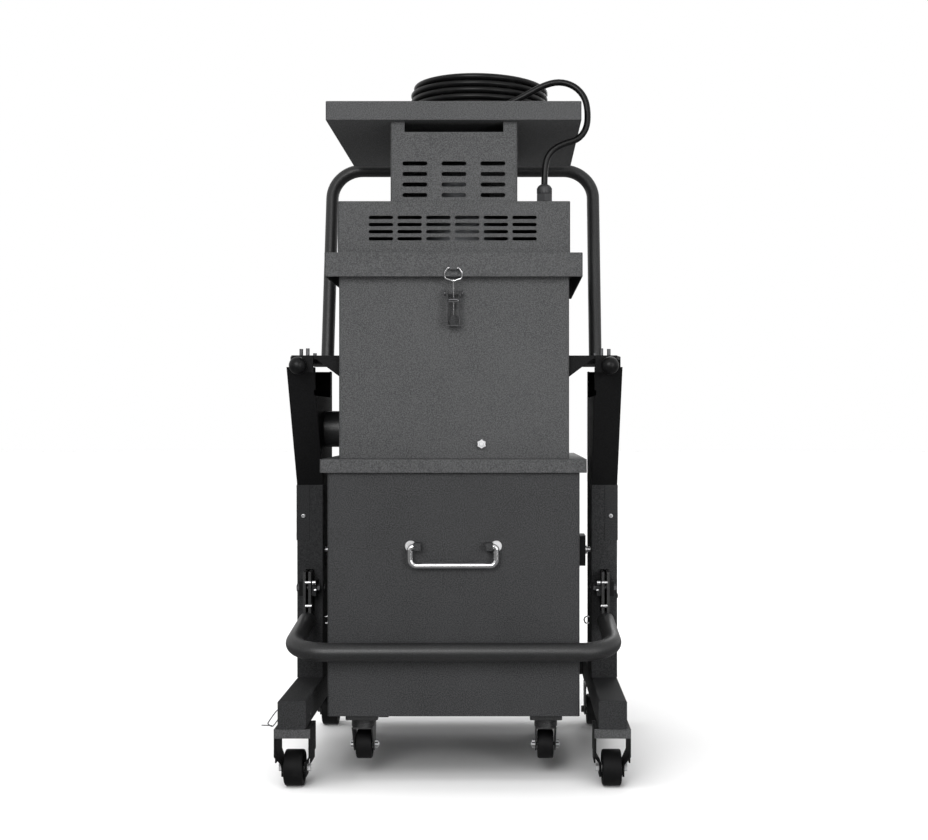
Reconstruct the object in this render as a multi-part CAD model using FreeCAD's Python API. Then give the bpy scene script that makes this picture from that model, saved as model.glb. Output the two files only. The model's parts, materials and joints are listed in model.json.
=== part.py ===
import FreeCAD, Part
import math
import os

V = FreeCAD.Vector

# Industrial dust extractor: a motor head on a filter chamber, over a roll-out
# dust bin that a foot bar lifts against the chamber's collar.
# Millimetres. X to the right, Y to the back, Z up from the floor.

# Clearances
fit = 0.05            # radial, pin or shaft in its hole
slip = 0.3            # between pieces that move apart
room = 1.0            # around a pin in its slot

# Dust bin
bin_front_y = -261.5
bin_width = 543.0
bin_depth = 540.0
bin_sheet = 2.0
lift_travel = 30.0
floor_gap = 3.0
bin_castor_height = 109.8
bin_castor_inset = 72.0
bin_castor_front = 50.0
bin_castor_rear = 50.0
bin_wheel_diameter = 63.0
bin_wheel_width = 39.0
bin_axle = 8.0
bin_plate = 70.0
bin_plate_height = 12.0
bin_race = 50.0
bin_race_height = 18.0
bin_fork_sheet = 3.0
bin_trail = 33.0
bail_spread = 92.0
bail_rise = 366.0
bail_rod = 12.7
bail_drop = 40.6
bail_out = 16.0
bail_bend = 13.0
bail_washer = 24.0
bail_washer_height = 3.0
bail_stub = 22.0
bail_lug = 10.0

# Feet, posts and arms
foot_side_gap = 12.5  # from the bin's lift brackets
foot_front_reach = 58.0
bin_back_gap = 10.0
foot_size = 60.0
foot_wall = 3.0
foot_corner = 4.0
end_cap = 3.0
crossbeam_depth = 40.0
castor_height = 128.5
post_setback = 199.0
post_depth = 156.0
post_wall = 3.0
post_height = 442.5
arm_height = 265.0
arm_lean = 147.0
arm_notch_height = 62.0
arm_notch_margin = 28.0
bracket_gap = 17.0
bracket_plate = 8.0
bracket_flange = 6.0
bracket_length = 440.0
bracket_front_margin = 6.0
bracket_nose = 13.0
bracket_nose_length = 60.0
gusset_reach = 52.0
gusset_height = 39.0
gusset_plate = 6.0
gusset_spacing = 340.0

# Push handle
handle_tube = 32.0
handle_tube_wall = 2.0
handle_leg_inset = 3.0
handle_foot_inset = 14.0
handle_lean = 111.0
handle_height = 503.0
handle_bend = 76.0

# Main castors
wheel_diameter = 76.0
wheel_width = 45.0
wheel_edge = 5.0
rim_face = 7.0
rim_depth = 10.0
axle_diameter = 10.0
axle_nut = 15.0
axle_nut_height = 7.0
bracket_sheet = 4.0
bridge_width = 77.0
bridge_length = 84.0
bridge_lip = 18.5
fork_foot = 34.0
leg_jog_top = 31.0
leg_jog_bottom = 11.0
rear_castor_inset = 55.0
castor_trail = 28.0
castor_plate = 6.0
castor_race = 46.0
castor_race_height = 14.0
fork_toe_half = 14.0
fork_toe_drop = 12.0

# Filter chamber and collar
chamber_front_inset = 27.0
chamber_back_inset = 30.0
chamber_side_inset = 21.5
chamber_height = 430.0
sheet = 2.0
corner = 5.0
chamber_below_bracket = 225.0
collar_gap = 12.5
collar_height = 29.0
seal_width = 14.0
seal_overhang = 3.5
bin_seal_height = 10.0
inlet_diameter = 84.0
inlet_wall = 4.0
inlet_reach = 128.0
inlet_height = 63.0
inlet_setback = 250.0
front_nut_x = 60.0
front_nut_height = 32.0
front_nut_size = 17.0
front_nut_length = 10.0

# Filter
filter_diameter = 325.0
filter_bore = 200.0
filter_length = 330.0
filter_flange_diameter = 360.0
filter_flange_height = 6.0
filter_cap = 12.0
filter_plate_edge = 10.0
lid_seal_height = 10.4

# Motor head
pan_overhang = 28.0
pan_height = 51.8
head_overhang = 7.0
lower_side_overhang = 2.0
lower_height = 113.6
upper_width = 275.0
upper_back_inset = 37.0
upper_height = 171.6
tray_width = 551.0
tray_overhang = 20.0
tray_back_overhang = 50.0
tray_height = 40.4
slot_width = 214.0
slot_height = 22.0
lower_vent = (53.0, 7.5)
lower_vent_pitch = (62.2, 15.4)
lower_vent_count = (6, 4)
lower_vent_rise = 32.0
lower_vent_shift = -2.5
upper_vent = (54.0, 9.2)
upper_vent_pitch = (84.5, 22.8)
upper_vent_count = (3, 4)
upper_vent_rise = 13.0
suction_bore = 120.0
drum_diameter = 210.0
drum_head_gap = 8.0
drum_wall = 4.0
motor_diameter = 145.0
motor_height = 84.0
motor_gap = 2.0
shaft_diameter = 16.0
fan_gap = 11.0
fan_height = 40.0
fan_blades = 8
fan_sheet = 3.0

# Bin lift
lever_pivot_rise = 209.5
lever_pivot_reach = 25.0
lever_plate = 6.0
lever_plates_width = 18.0
lever_top = 38.0
lever_bottom = 92.0
lever_front = 17.0
lever_back = 14.0
pivot_bolt = 12.0
horn_short = 5.0      # the horn's nose stops this far ahead of the peg
horn_rise = 30.0
horn_tip = 8.0
horn_slot_drop = 56.0
clevis_lug = 10.0
clevis_height = 34.0
clevis_nose = 15.0
foot_bar_tube = 39.0
foot_bar_wall = 3.0
foot_bar_drop = 107.0
foot_bar_reach = 58.0
foot_bar_flare = 6.5
foot_bar_bend = 72.0
peg_above_pivot = 81.0
peg_inset = 36.0
peg_shank = 12.0
peg_flange = 20.0
peg_flange_height = 3.5
peg_reach = 14.0
carriage_width = 34.0
carriage_depth = 36.0
carriage_top = 20.0
bin_bracket_width = 24.0
bin_bracket_depth = 60.0
bin_bracket_height = 70.0
bin_bracket_sheet = 4.0

# Latch
latch_sheet = 2.0
latch_pivot_out = 18.0
latch_pivot_drop = 35.6
latch_pin = 5.0
latch_ear = 15.0
latch_plate_width = 34.0
latch_plate_height = 96.0
latch_plate_drop = 13.6
lever_width = 27.0
lever_cheek = 2.5
lever_length = 76.0
trunnion_drop = 17.0
trunnion_out = 4.0
trunnion_diameter = 6.0
wire = 3.4
loop_width = 37.0
loop_height = 28.0
loop_low_shoulder = 6.2
loop_high_shoulder = 9.8
loop_bend = 5.0
loop_top_bend = 4.2
loop_bar_out = 7.0
loop_bar_rise = 17.4
rod_tail = 30.0
hook_width = 17.0
hook_lip = 4.5
hook_gap = 14.5

# Ball knobs and lock pin
ball_diameter = 39.0
ball_rise = 2.0
ball_pin = 12.0
ball_pin_length = 50.0
lock_pin_diameter = 8.0
lock_pin_reach = 14.0
lock_pin_drop = 10.0
lock_head = 14.0
lock_head_height = 4.0
lock_wire = 2.6
lock_ring_rise = 16.0
lock_ring_out = 14.0
lock_ring_drop = 20.0
lock_tail = 9.0

# Studs and screws; each stud is (across, back, height) from the bracket's front
stud_diameter = 8.0
studs = ((-16.0, 12.0, 16.0), (2.0, 36.0, 16.0), (-30.0, 24.0, 6.0))
post_screw = 9.0
post_screw_height = 4.0
post_screw_inset = 15.0
post_screw_drop = 71.0

# Mains cord
cord = 14.0
gland_side_inset = 55.0
gland_inset = 40.0
gland_hex = 33.0
gland_height = 42.0
gland_nut_height = 15.0
gland_bevel = 4.5
gland_draft = 2.7
cord_lip = 3.0
coil_x = 50.0
coil_setback = 262.0
coil_radius = 156.0
coil_gap = 0.7
coil_turns = 5.25
coil_run_in = 0.25    # turns
coil_crossing = 0.5   # turns
coil_tail = 0.75      # turns
plug_radius = 62.0
plug_diameter = 44.0
plug_length = 62.0
plug_neck = 18.0
plug_neck_diameter = 31.0
plug_shoulder = 6.0
plug_pin = 4.8
plug_pin_length = 19.0
plug_pin_spacing = 19.0
lead_run_in = 30.0
lead_arc_share = 0.45

# Heights that follow from the sizes above
foot_top = castor_height + foot_size
post_top = foot_top + post_height
arm_top = post_top + arm_height
bracket_bottom = arm_top + bracket_gap
bracket_top = bracket_bottom + bracket_plate
chamber_bottom = bracket_top - chamber_below_bracket
chamber_top = chamber_bottom + chamber_height
plate_top = chamber_top + sheet
pan_top = plate_top + lid_seal_height + sheet
pan_bottom = pan_top - pan_height
lower_top = pan_top + lower_height
upper_top = lower_top + upper_height
tray_top = upper_top + tray_height
drum_top = lower_top - sheet - drum_head_gap
collar_bottom = chamber_bottom - collar_height
bin_top = chamber_bottom - sheet - bin_seal_height - slip
bin_bottom = bin_castor_height + lift_travel + floor_gap
pivot_z = foot_top + lever_pivot_rise
peg_z = pivot_z + peg_above_pivot
inlet_z = chamber_bottom + inlet_height
lock_pin_z = castor_height + foot_size / 2 - lock_pin_drop
bail_z = bin_bottom + bail_rise
wheel_radius = wheel_diameter / 2
bin_wheel_radius = bin_wheel_diameter / 2
bin_axle_z = bin_bottom - bin_castor_height + bin_wheel_radius
bin_fork_top = bin_bottom - bin_plate_height - bin_race_height / 2
rear_race_bottom = castor_height - castor_plate - castor_race_height / 2

# Places front to back that follow
bin_back = bin_front_y + bin_depth
bin_mid = bin_front_y + bin_depth / 2
foot_front = bin_front_y - foot_front_reach
foot_back = bin_back + bin_back_gap + crossbeam_depth
post_front = bin_front_y + post_setback
post_back = post_front + post_depth
arm_front = post_front - arm_lean
pivot_y = post_front - lever_pivot_reach
peg_y = post_front + peg_inset
bracket_front = arm_front - bracket_front_margin
bracket_back = bracket_front + bracket_length
chamber_front = bin_front_y + chamber_front_inset
chamber_back = bin_back - chamber_back_inset
chamber_mid = (chamber_front + chamber_back) / 2
pan_front = chamber_front - pan_overhang
pan_back = chamber_back + pan_overhang
head_front = chamber_front - head_overhang
lower_back = chamber_back + head_overhang
upper_back = lower_back - upper_back_inset
tray_front = head_front - tray_overhang
tray_back = upper_back + tray_back_overhang
motor_y = (head_front + lower_back) / 2
inlet_y = bin_front_y + inlet_setback
bail_y = bin_front_y - bail_out
front_axle_y = foot_front + bridge_length / 2
rear_swivel_y = foot_back - rear_castor_inset
rear_axle_y = rear_swivel_y + castor_trail
bin_front_swivel = bin_front_y + bin_castor_front
bin_front_axle = bin_front_swivel + bin_trail
bin_rear_axle = bin_back - bin_castor_rear

# Widths that follow
chamber_width = bin_width - 2 * chamber_side_inset
lower_width = chamber_width + 2 * lower_side_overhang
collar_width = bin_width + 2 * (collar_gap + sheet)
collar_depth = bin_depth + 2 * (collar_gap + sheet)
fan_diameter = drum_diameter - 2 * (drum_wall + fan_gap)
foot_inner = bin_width / 2 + bin_bracket_width + foot_side_gap
foot_outer = foot_inner + foot_size
foot_centre_x = foot_inner + foot_size / 2
lever_inner = foot_centre_x - lever_plates_width / 2
lever_outer = foot_centre_x + lever_plates_width / 2
bin_castor_x = bin_width / 2 - bin_castor_inset
axle_half = wheel_width / 2 + slip
bin_axle_half = bin_wheel_width / 2 + slip
SIDES = (-1, 1)

os.makedirs("parts", exist_ok=True)


# Helpers

def block(x, y, z):
    size = [span[1] - span[0] for span in (x, y, z)]
    return Part.makeBox(size[0], size[1], size[2], V(x[0], y[0], z[0]))


def centred(middle, length):
    return (middle - length / 2, middle + length / 2)


def rod(start, end, diameter):
    run = end - start
    return Part.makeCylinder(diameter / 2, run.Length, start, run)


def prism(points, run):
    corners = [V(*point) for point in points]
    face = Part.Face(Part.makePolygon(corners + [corners[0]]))
    return face.extrude(run)


def hexagon(centre, axis, across, height):
    radius = across / math.sqrt(3)
    points = [V(radius * math.cos(turn), radius * math.sin(turn), 0)
              for turn in (k * math.pi / 3 for k in range(6))]
    solid = Part.Face(Part.makePolygon(points + [points[0]])).extrude(V(0, 0, height))
    turn = FreeCAD.Rotation(V(0, 0, 1), axis)
    solid.Placement = FreeCAD.Placement(centre, turn)
    return solid


def rounded(solid, radius, axis):
    edges = []
    for edge in solid.Edges:
        if isinstance(edge.Curve, Part.Line) and abs(edge.Curve.Direction.dot(axis)) > 0.999:
            edges.append(edge)
    return solid.makeFillet(radius, edges)


def upright_box(x, y, z, radius):
    return rounded(block(x, y, z), radius, V(0, 0, 1))


def mirrored(solid):
    return solid.mirror(V(0, 0, 0), V(1, 0, 0))


def pair(solid):
    return Part.makeCompound([mirrored(solid), solid])


def join(first, *others):
    return first.fuse(list(others)).removeSplitter()


def revolved(profile, base, axis):
    # profile holds (along the axis, radius) corners of a closed outline
    points = [V(radius, 0, along) for along, radius in profile]
    face = Part.Face(Part.makePolygon(points + [points[0]]))
    solid = face.revolve(V(0, 0, 0), V(0, 0, 1), 360)
    solid.Placement = FreeCAD.Placement(base, FreeCAD.Rotation(V(0, 0, 1), axis))
    return solid


def bent_path(points, radii):
    # Straight runs joined by tangent arcs, one radius for each inner corner
    edges = []
    last = points[0]
    for index, radius in enumerate(radii):
        corner_point = points[index + 1]
        back = (points[index] - corner_point).normalize()
        ahead = (points[index + 2] - corner_point).normalize()
        half_turn = (math.pi - back.getAngle(ahead)) / 2
        reach = radius * math.tan(half_turn)
        start = corner_point + back * reach
        end = corner_point + ahead * reach
        bisector = (back + ahead).normalize()
        middle = corner_point + bisector * (radius / math.cos(half_turn) - radius)
        edges.append(Part.LineSegment(last, start).toShape())
        edges.append(Part.Arc(start, middle, end).toShape())
        last = end
    edges.append(Part.LineSegment(last, points[-1]).toShape())
    return Part.Wire(edges)


def along(path, diameter):
    start = path.Edges[0].valueAt(path.Edges[0].FirstParameter)
    heading = path.Edges[0].tangentAt(path.Edges[0].FirstParameter)
    circle = Part.Wire(Part.makeCircle(diameter / 2, start, heading))
    return path.makePipeShell([circle], True, False)


def bent_tube(points, bend, diameter, wall=0.0):
    path = bent_path(points, [bend] * (len(points) - 2))
    tube = along(path, diameter)
    if wall:
        tube = tube.cut(along(path, diameter - 2 * wall))
    return tube


def vents(front_y, size, pitch, count, first_z, middle_x=0.0):
    width, height = size
    cuts = []
    for row in range(count[1]):
        z = first_z + row * pitch[1]
        for column in range(count[0]):
            x = middle_x + (column - (count[0] - 1) / 2) * pitch[0]
            half = (width - height) / 2
            depth = (front_y - sheet, front_y + 2 * sheet)
            cuts.append(block(centred(x, 2 * half), depth, centred(z, height)))
            for end in SIDES:
                start = V(x + end * half, depth[0], z)
                cuts.append(rod(start, start + V(0, depth[1] - depth[0], 0), height))
    return cuts


def save(name, shape):
    shape.exportStep("parts/" + name + ".step")
    return shape


# Chassis

def foot_tube():
    y = (foot_front, foot_back)
    z = (castor_height, foot_top)
    tube = rounded(block((foot_inner, foot_outer), y, z), foot_corner, V(0, 1, 0))
    bore = block((foot_inner + foot_wall, foot_outer - foot_wall), y, (z[0] + foot_wall, z[1] - foot_wall))
    return tube.cut(bore)


def foot_tubes():
    left = mirrored(foot_tube())
    hole = rod(V(-foot_outer - room, bin_front_y, lock_pin_z), V(-foot_inner + room, bin_front_y, lock_pin_z),
               lock_pin_diameter + 2 * fit)
    return Part.makeCompound([left.cut(hole), foot_tube()])


def foot_end_caps():
    caps = []
    for y in (foot_front - end_cap, foot_back):
        cap = block((foot_inner, foot_outer), (y, y + end_cap), (castor_height, foot_top))
        cap = rounded(cap, foot_corner, V(0, 1, 0))
        caps += [cap, mirrored(cap)]
    return Part.makeCompound(caps)


def rear_crossbeam():
    y = (foot_back - crossbeam_depth, foot_back)
    z = (castor_height, foot_top)
    beam = block((-foot_inner, foot_inner), y, z)
    bore = block((-foot_inner, foot_inner), (y[0] + foot_wall, y[1] - foot_wall),
                 (z[0] + foot_wall, z[1] - foot_wall))
    return beam.cut(bore)


def post():
    x = (foot_inner, foot_outer)
    tube = block(x, (post_front, post_back), (foot_top, post_top))
    tube = rounded(tube, post_wall, V(0, 0, 1))
    bore = block((x[0] + post_wall, x[1] - post_wall), (post_front + post_wall, post_back - post_wall),
                 (foot_top, post_top))
    tube = tube.cut(bore)
    slot_x = (lever_inner - room, lever_outer + room)
    horn_slot = block(slot_x, (post_front - room, post_front + post_wall + room),
                      (pivot_z - horn_slot_drop - room, pivot_z + lever_top + room))
    peg_half = peg_shank / 2 + room
    peg_slot = block((x[0] - room, x[0] + post_wall + room), centred(peg_y, 2 * peg_half),
                     (peg_z - lift_travel - peg_half, peg_z + peg_half))
    tube = tube.cut([horn_slot, peg_slot])
    lug_y = (pivot_y - clevis_nose, post_front)
    lugs = []
    for start in (lever_inner - slip - clevis_lug, lever_outer + slip):
        lug = block((start, start + clevis_lug), lug_y, centred(pivot_z, clevis_height))
        hole = rod(V(start, pivot_y, pivot_z), V(start + clevis_lug, pivot_y, pivot_z), pivot_bolt)
        lugs.append(lug.cut(hole))
    return join(tube, *lugs)


def arm():
    x = (foot_inner, foot_outer)
    outer = [(x[0], post_front, post_top), (x[0], arm_front, arm_top),
             (x[0], post_back, arm_top), (x[0], post_back, post_top)]
    shell = prism(outer, V(foot_size, 0, 0))
    front_wall = post_wall * math.hypot(arm_lean, arm_height) / arm_height
    slope = arm_lean / arm_height
    low = post_top - room
    high = arm_top + room
    inner = [(x[0] + post_wall, post_front + front_wall + room * slope, low),
             (x[0] + post_wall, arm_front + front_wall - room * slope, high),
             (x[0] + post_wall, post_back - post_wall, high),
             (x[0] + post_wall, post_back - post_wall, low)]
    bore = prism(inner, V(foot_size - 2 * post_wall, 0, 0))
    notch = block((x[0] - room, x[0] + post_wall + room),
                  (arm_front + arm_notch_margin, post_back - arm_notch_margin),
                  (arm_top - arm_notch_height, arm_top + room))
    pin_notch = rod(V(foot_centre_x, arm_front - ball_pin_length, arm_top + ball_rise),
                    V(foot_centre_x, arm_front + ball_pin_length, arm_top + ball_rise),
                    ball_pin + 2 * room)
    return shell.cut([bore, notch, pin_notch])


def inlet_axis(x):
    return V(x, inlet_y, inlet_z)


def left_arm():
    hole = rod(inlet_axis(-foot_outer - room), inlet_axis(-foot_inner + room),
               inlet_diameter + 2 * slip)
    return mirrored(arm()).cut(hole)


def side_bracket():
    x = (chamber_width / 2, foot_outer)
    nose_x = x[1] - bracket_nose
    nose_y = bracket_front + bracket_nose_length
    outline = [(x[0], bracket_front, bracket_bottom), (nose_x, bracket_front, bracket_bottom),
               (x[1], nose_y, bracket_bottom), (x[1], bracket_back, bracket_bottom),
               (x[0], bracket_back, bracket_bottom)]
    plate = prism(outline, V(0, 0, bracket_plate))
    side = block((x[1] - bracket_flange, x[1]), (nose_y, post_back), (arm_top, bracket_bottom))
    lip_y = (bracket_front - bracket_flange, bracket_front)
    lip = block((foot_inner, nose_x), lip_y, (arm_top - ball_pin, bracket_top))
    hole = rod(V(foot_centre_x, lip_y[0], arm_top + ball_rise),
               V(foot_centre_x, lip_y[1], arm_top + ball_rise), ball_pin + 2 * fit)
    gussets = []
    for shift in (0, gusset_spacing):
        y = bracket_front + shift
        outline = [(x[0], y, bracket_bottom), (x[0] + gusset_reach, y, bracket_bottom),
                   (x[0], y, bracket_bottom - gusset_height)]
        gussets.append(prism(outline, V(0, gusset_plate, 0)))
    return join(plate, side, lip.cut(hole), *gussets)


def push_handle():
    half = foot_centre_x - handle_leg_inset
    foot_y = bracket_back - handle_foot_inset
    top_y = foot_y + handle_lean
    top_z = bracket_top + handle_height
    points = [V(-half, foot_y, bracket_top), V(-half, top_y, top_z),
              V(half, top_y, top_z), V(half, foot_y, bracket_top)]
    tube = bent_tube(points, handle_bend, handle_tube, handle_tube_wall)
    below = block(centred(0, 4 * half), centred(foot_y, 4 * handle_tube),
                  (bracket_top - 3 * handle_tube, bracket_top))
    heel = points[0] - points[1]
    heel.normalize()
    stubs = []
    for end in (points[0], points[-1]):
        stub = rod(end, end + heel * handle_tube, handle_tube)
        stubs.append(stub.cut(rod(end, end + heel * handle_tube, handle_tube - 2 * handle_tube_wall)))
    return join(tube, *stubs).cut(below)


# Main castors

def castor_leg(top_x, foot_x):
    # One bracket leg: upright from the deck, then jogged in to the axle
    jog_top = wheel_radius + leg_jog_top
    jog_bottom = wheel_radius + leg_jog_bottom
    low = wheel_radius - fork_foot / 2
    y = centred(front_axle_y, bridge_length)
    foot_y = centred(front_axle_y, fork_foot)
    outer_top = top_x + bracket_sheet
    outer_foot = foot_x + bracket_sheet
    outline = [(top_x, y[0], castor_height), (top_x, y[0], jog_top), (foot_x, y[0], jog_bottom),
               (foot_x, y[0], low), (outer_foot, y[0], low), (outer_foot, y[0], jog_bottom),
               (outer_top, y[0], jog_top), (outer_top, y[0], castor_height)]
    sheet_leg = prism(outline, V(0, bridge_length, 0))
    side = [(0, y[0], castor_height), (0, y[0], jog_top), (0, foot_y[0], wheel_radius), (0, foot_y[0], low),
            (0, foot_y[1], low), (0, foot_y[1], wheel_radius), (0, y[1], jog_top), (0, y[1], castor_height)]
    return sheet_leg.common(prism(side, V(2 * outer_top, 0, 0)))


def castor_axle(x, y, z, half_grip, diameter, nut):
    shank = rod(V(x - half_grip, y, z), V(x + half_grip, y, z), diameter)
    head = hexagon(V(x + half_grip, y, z), V(1, 0, 0), nut, axle_nut_height)
    tail = hexagon(V(x - half_grip, y, z), V(-1, 0, 0), nut, axle_nut_height)
    return join(shank, head, tail)


def front_castor_bracket():
    top = castor_height
    half = bridge_width / 2
    y = centred(front_axle_y, bridge_length)
    deck = block((-half, half), y, (top - bracket_sheet, top))
    lip = block((-half, half), (y[0], y[0] + bracket_sheet), (top - bridge_lip, top))
    leg = castor_leg(half - bracket_sheet, axle_half)
    body = join(deck, lip, leg, mirrored(leg))
    body = body.cut(rod(V(-half, front_axle_y, wheel_radius), V(half, front_axle_y, wheel_radius),
                        axle_diameter))
    body.translate(V(foot_centre_x, 0, 0))
    return body


def front_axle():
    return castor_axle(foot_centre_x, front_axle_y, wheel_radius, axle_half + bracket_sheet,
                       axle_diameter, axle_nut)


def castor_wheel(centre, radius, width, bore):
    edge = wheel_edge
    hub = bore + edge
    dish = width / 2 - edge
    half = width / 2
    profile = [(-half, bore / 2 + fit), (-half, hub), (-dish, hub + edge), (-dish, radius - rim_depth),
               (-half, radius - rim_face), (-half, radius - edge), (-half + edge, radius),
               (half - edge, radius), (half, radius - edge), (half, radius - rim_face),
               (dish, radius - rim_depth), (dish, hub + edge), (half, hub), (half, bore / 2 + fit)]
    return revolved(profile, centre, V(1, 0, 0))


def rear_castor_plate():
    plate = block(centred(foot_centre_x, foot_size), centred(rear_swivel_y, bridge_length),
                  (castor_height - castor_plate, castor_height))
    plate = rounded(plate, foot_corner, V(0, 0, 1))
    race = rod(V(foot_centre_x, rear_swivel_y, castor_height - castor_plate),
               V(foot_centre_x, rear_swivel_y, rear_race_bottom), castor_race)
    return join(plate, race)


def swivel_fork(x, swivel_y, trail, top, radius, half_gap, leg_sheet, race, race_height, axle, nut):
    # Turntable under the fixed race, a deck and two legs that trail back to the axle
    axle_y = swivel_y + trail
    deck_top = top - race_height / 2
    reach = (swivel_y - race / 2, axle_y + race / 2)
    turntable = rod(V(x, swivel_y, top), V(x, swivel_y, deck_top), race)
    half = half_gap + leg_sheet
    deck = block((x - half, x + half), reach, (deck_top - leg_sheet, deck_top))
    toe = radius - fork_toe_drop
    legs = []
    for inner in (x - half, x + half_gap):
        outline = [(inner, reach[0], deck_top), (inner, reach[1], deck_top),
                   (inner, axle_y + fork_toe_half, toe), (inner, axle_y - fork_toe_half, toe)]
        legs.append(prism(outline, V(leg_sheet, 0, 0)))
    body = join(turntable, deck, *legs)
    body = body.cut(rod(V(x - half, axle_y, radius), V(x + half, axle_y, radius), axle))
    return body, castor_axle(x, axle_y, radius, half, axle, nut)


def rear_fork():
    fork, axle = swivel_fork(foot_centre_x, rear_swivel_y, castor_trail, rear_race_bottom - slip,
                             wheel_radius, axle_half, bracket_sheet, castor_race, castor_race_height,
                             axle_diameter, axle_nut)
    return Part.makeCompound([fork, axle])


# Chamber and collar

def sheet_frame(width, depth_range, z, wall):
    # Four upright walls with rounded corners, open above and below
    outer = upright_box(centred(0, width), depth_range, z, corner)
    inner = block(centred(0, width - 2 * wall), (depth_range[0] + wall, depth_range[1] - wall), z)
    return outer.cut(inner)


def chamber():
    body = sheet_frame(chamber_width, (chamber_front, chamber_back), (chamber_bottom, chamber_top), sheet)
    left = -chamber_width / 2
    hole = rod(inlet_axis(left - room), inlet_axis(left + sheet + room), inlet_diameter + 2 * fit)
    return body.cut(hole)


def collar():
    y = centred(bin_mid, collar_depth)
    skirt = sheet_frame(collar_width, y, (collar_bottom, chamber_bottom), sheet)
    deck = upright_box(centred(0, collar_width), y, (chamber_bottom - sheet, chamber_bottom), corner)
    mouth = block(centred(0, chamber_width - 2 * sheet), (chamber_front + sheet, chamber_back - sheet),
                  (collar_bottom, chamber_bottom))
    return join(skirt, deck.cut(mouth))


def bin_seal():
    z = (bin_top + slip, chamber_bottom - sheet)
    spread = seal_width - 2 * bin_sheet
    outer = upright_box(centred(0, bin_width + spread), centred(bin_mid, bin_depth + spread), z, corner)
    inner = block(centred(0, bin_width - seal_width), centred(bin_mid, bin_depth - seal_width), z)
    return outer.cut(inner)


def inlet_pipe():
    root = -chamber_width / 2 + sheet
    mouth = -chamber_width / 2 - inlet_reach
    pipe = rod(inlet_axis(root), inlet_axis(mouth), inlet_diameter)
    bore = rod(inlet_axis(root), inlet_axis(mouth), inlet_diameter - 2 * inlet_wall)
    return pipe.cut(bore)


def filter_plate():
    edge = filter_plate_edge
    plate = upright_box(centred(0, chamber_width + 2 * edge), (chamber_front - edge, chamber_back + edge),
                        (chamber_top, plate_top), corner)
    hole = rod(V(0, chamber_mid, chamber_top), V(0, chamber_mid, plate_top), filter_diameter + 2 * slip)
    return plate.cut(hole)


def filter_cartridge():
    low = plate_top - filter_length
    outer = filter_diameter / 2
    bore = filter_bore / 2
    flange_top = plate_top + filter_flange_height
    profile = [(low, 0), (low, outer), (plate_top, outer), (plate_top, filter_flange_diameter / 2),
               (flange_top, filter_flange_diameter / 2), (flange_top, bore), (low + filter_cap, bore),
               (low + filter_cap, 0)]
    return revolved(profile, V(0, chamber_mid, 0), V(0, 0, 1))


# Motor head

def lid_seal():
    z = (plate_top, plate_top + lid_seal_height)
    outer = upright_box(centred(0, chamber_width + 2 * seal_overhang),
                        (chamber_front - seal_overhang, chamber_back + seal_overhang), z, corner)
    inner = block(centred(0, chamber_width - 2 * seal_width),
                  (chamber_front + seal_width, chamber_back - seal_width), z)
    return outer.cut(inner)


def lid_pan():
    width = chamber_width + 2 * pan_overhang
    y = (pan_front, pan_back)
    pan = upright_box(centred(0, width), y, (pan_bottom, pan_top), corner)
    inside = block(centred(0, width - 2 * sheet), (y[0] + sheet, y[1] - sheet),
                   (pan_bottom, pan_top - sheet))
    hole = rod(V(0, motor_y, pan_top - sheet), V(0, motor_y, pan_top), suction_bore)
    return pan.cut([inside, hole])


def lower_housing():
    y = (head_front, lower_back)
    shell = upright_box(centred(0, lower_width), y, (pan_top, lower_top), corner)
    inside = block(centred(0, lower_width - 2 * sheet), (y[0] + sheet, y[1] - sheet),
                   (pan_top, lower_top - sheet))
    motor_hole = rod(V(0, motor_y, lower_top - sheet), V(0, motor_y, lower_top),
                     motor_diameter + 2 * motor_gap)
    slots = vents(head_front, lower_vent, lower_vent_pitch, lower_vent_count, pan_top + lower_vent_rise,
                  lower_vent_shift)
    return shell.cut([inside, motor_hole] + slots)


def upper_housing():
    y = (head_front, upper_back)
    shell = sheet_frame(upper_width, y, (lower_top, upper_top), sheet)
    grip_z = (upper_top - slot_height, upper_top + room)
    grip = block(centred(0, slot_width), (y[0] - room, y[0] + sheet + room), grip_z)
    slots = vents(head_front, upper_vent, upper_vent_pitch, upper_vent_count, lower_top + upper_vent_rise)
    return shell.cut([grip] + slots)


def tray():
    y = (tray_front, tray_back)
    pan = upright_box(centred(0, tray_width), y, (upper_top, tray_top), corner)
    inside = block(centred(0, tray_width - 2 * sheet), (y[0] + sheet, y[1] - sheet),
                   (upper_top, tray_top - sheet))
    return pan.cut(inside)


def tray_base():
    edge = sheet + slip
    return block(centred(0, tray_width - 2 * edge), (tray_front + edge, tray_back - edge),
                 (upper_top, upper_top + sheet))


def motor_drum():
    radius = drum_diameter / 2
    profile = [(pan_top, radius - drum_wall), (pan_top, radius), (drum_top, radius),
               (drum_top, shaft_diameter / 2 + fit), (drum_top - drum_wall, shaft_diameter / 2 + fit),
               (drum_top - drum_wall, radius - drum_wall)]
    return revolved(profile, V(0, motor_y, 0), V(0, 0, 1))


def motor_body():
    radius = motor_diameter / 2
    bore = shaft_diameter / 2 + fit
    profile = [(drum_top, bore), (drum_top, radius), (drum_top + motor_height, radius),
               (drum_top + motor_height, bore)]
    return revolved(profile, V(0, motor_y, 0), V(0, 0, 1))


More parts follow.
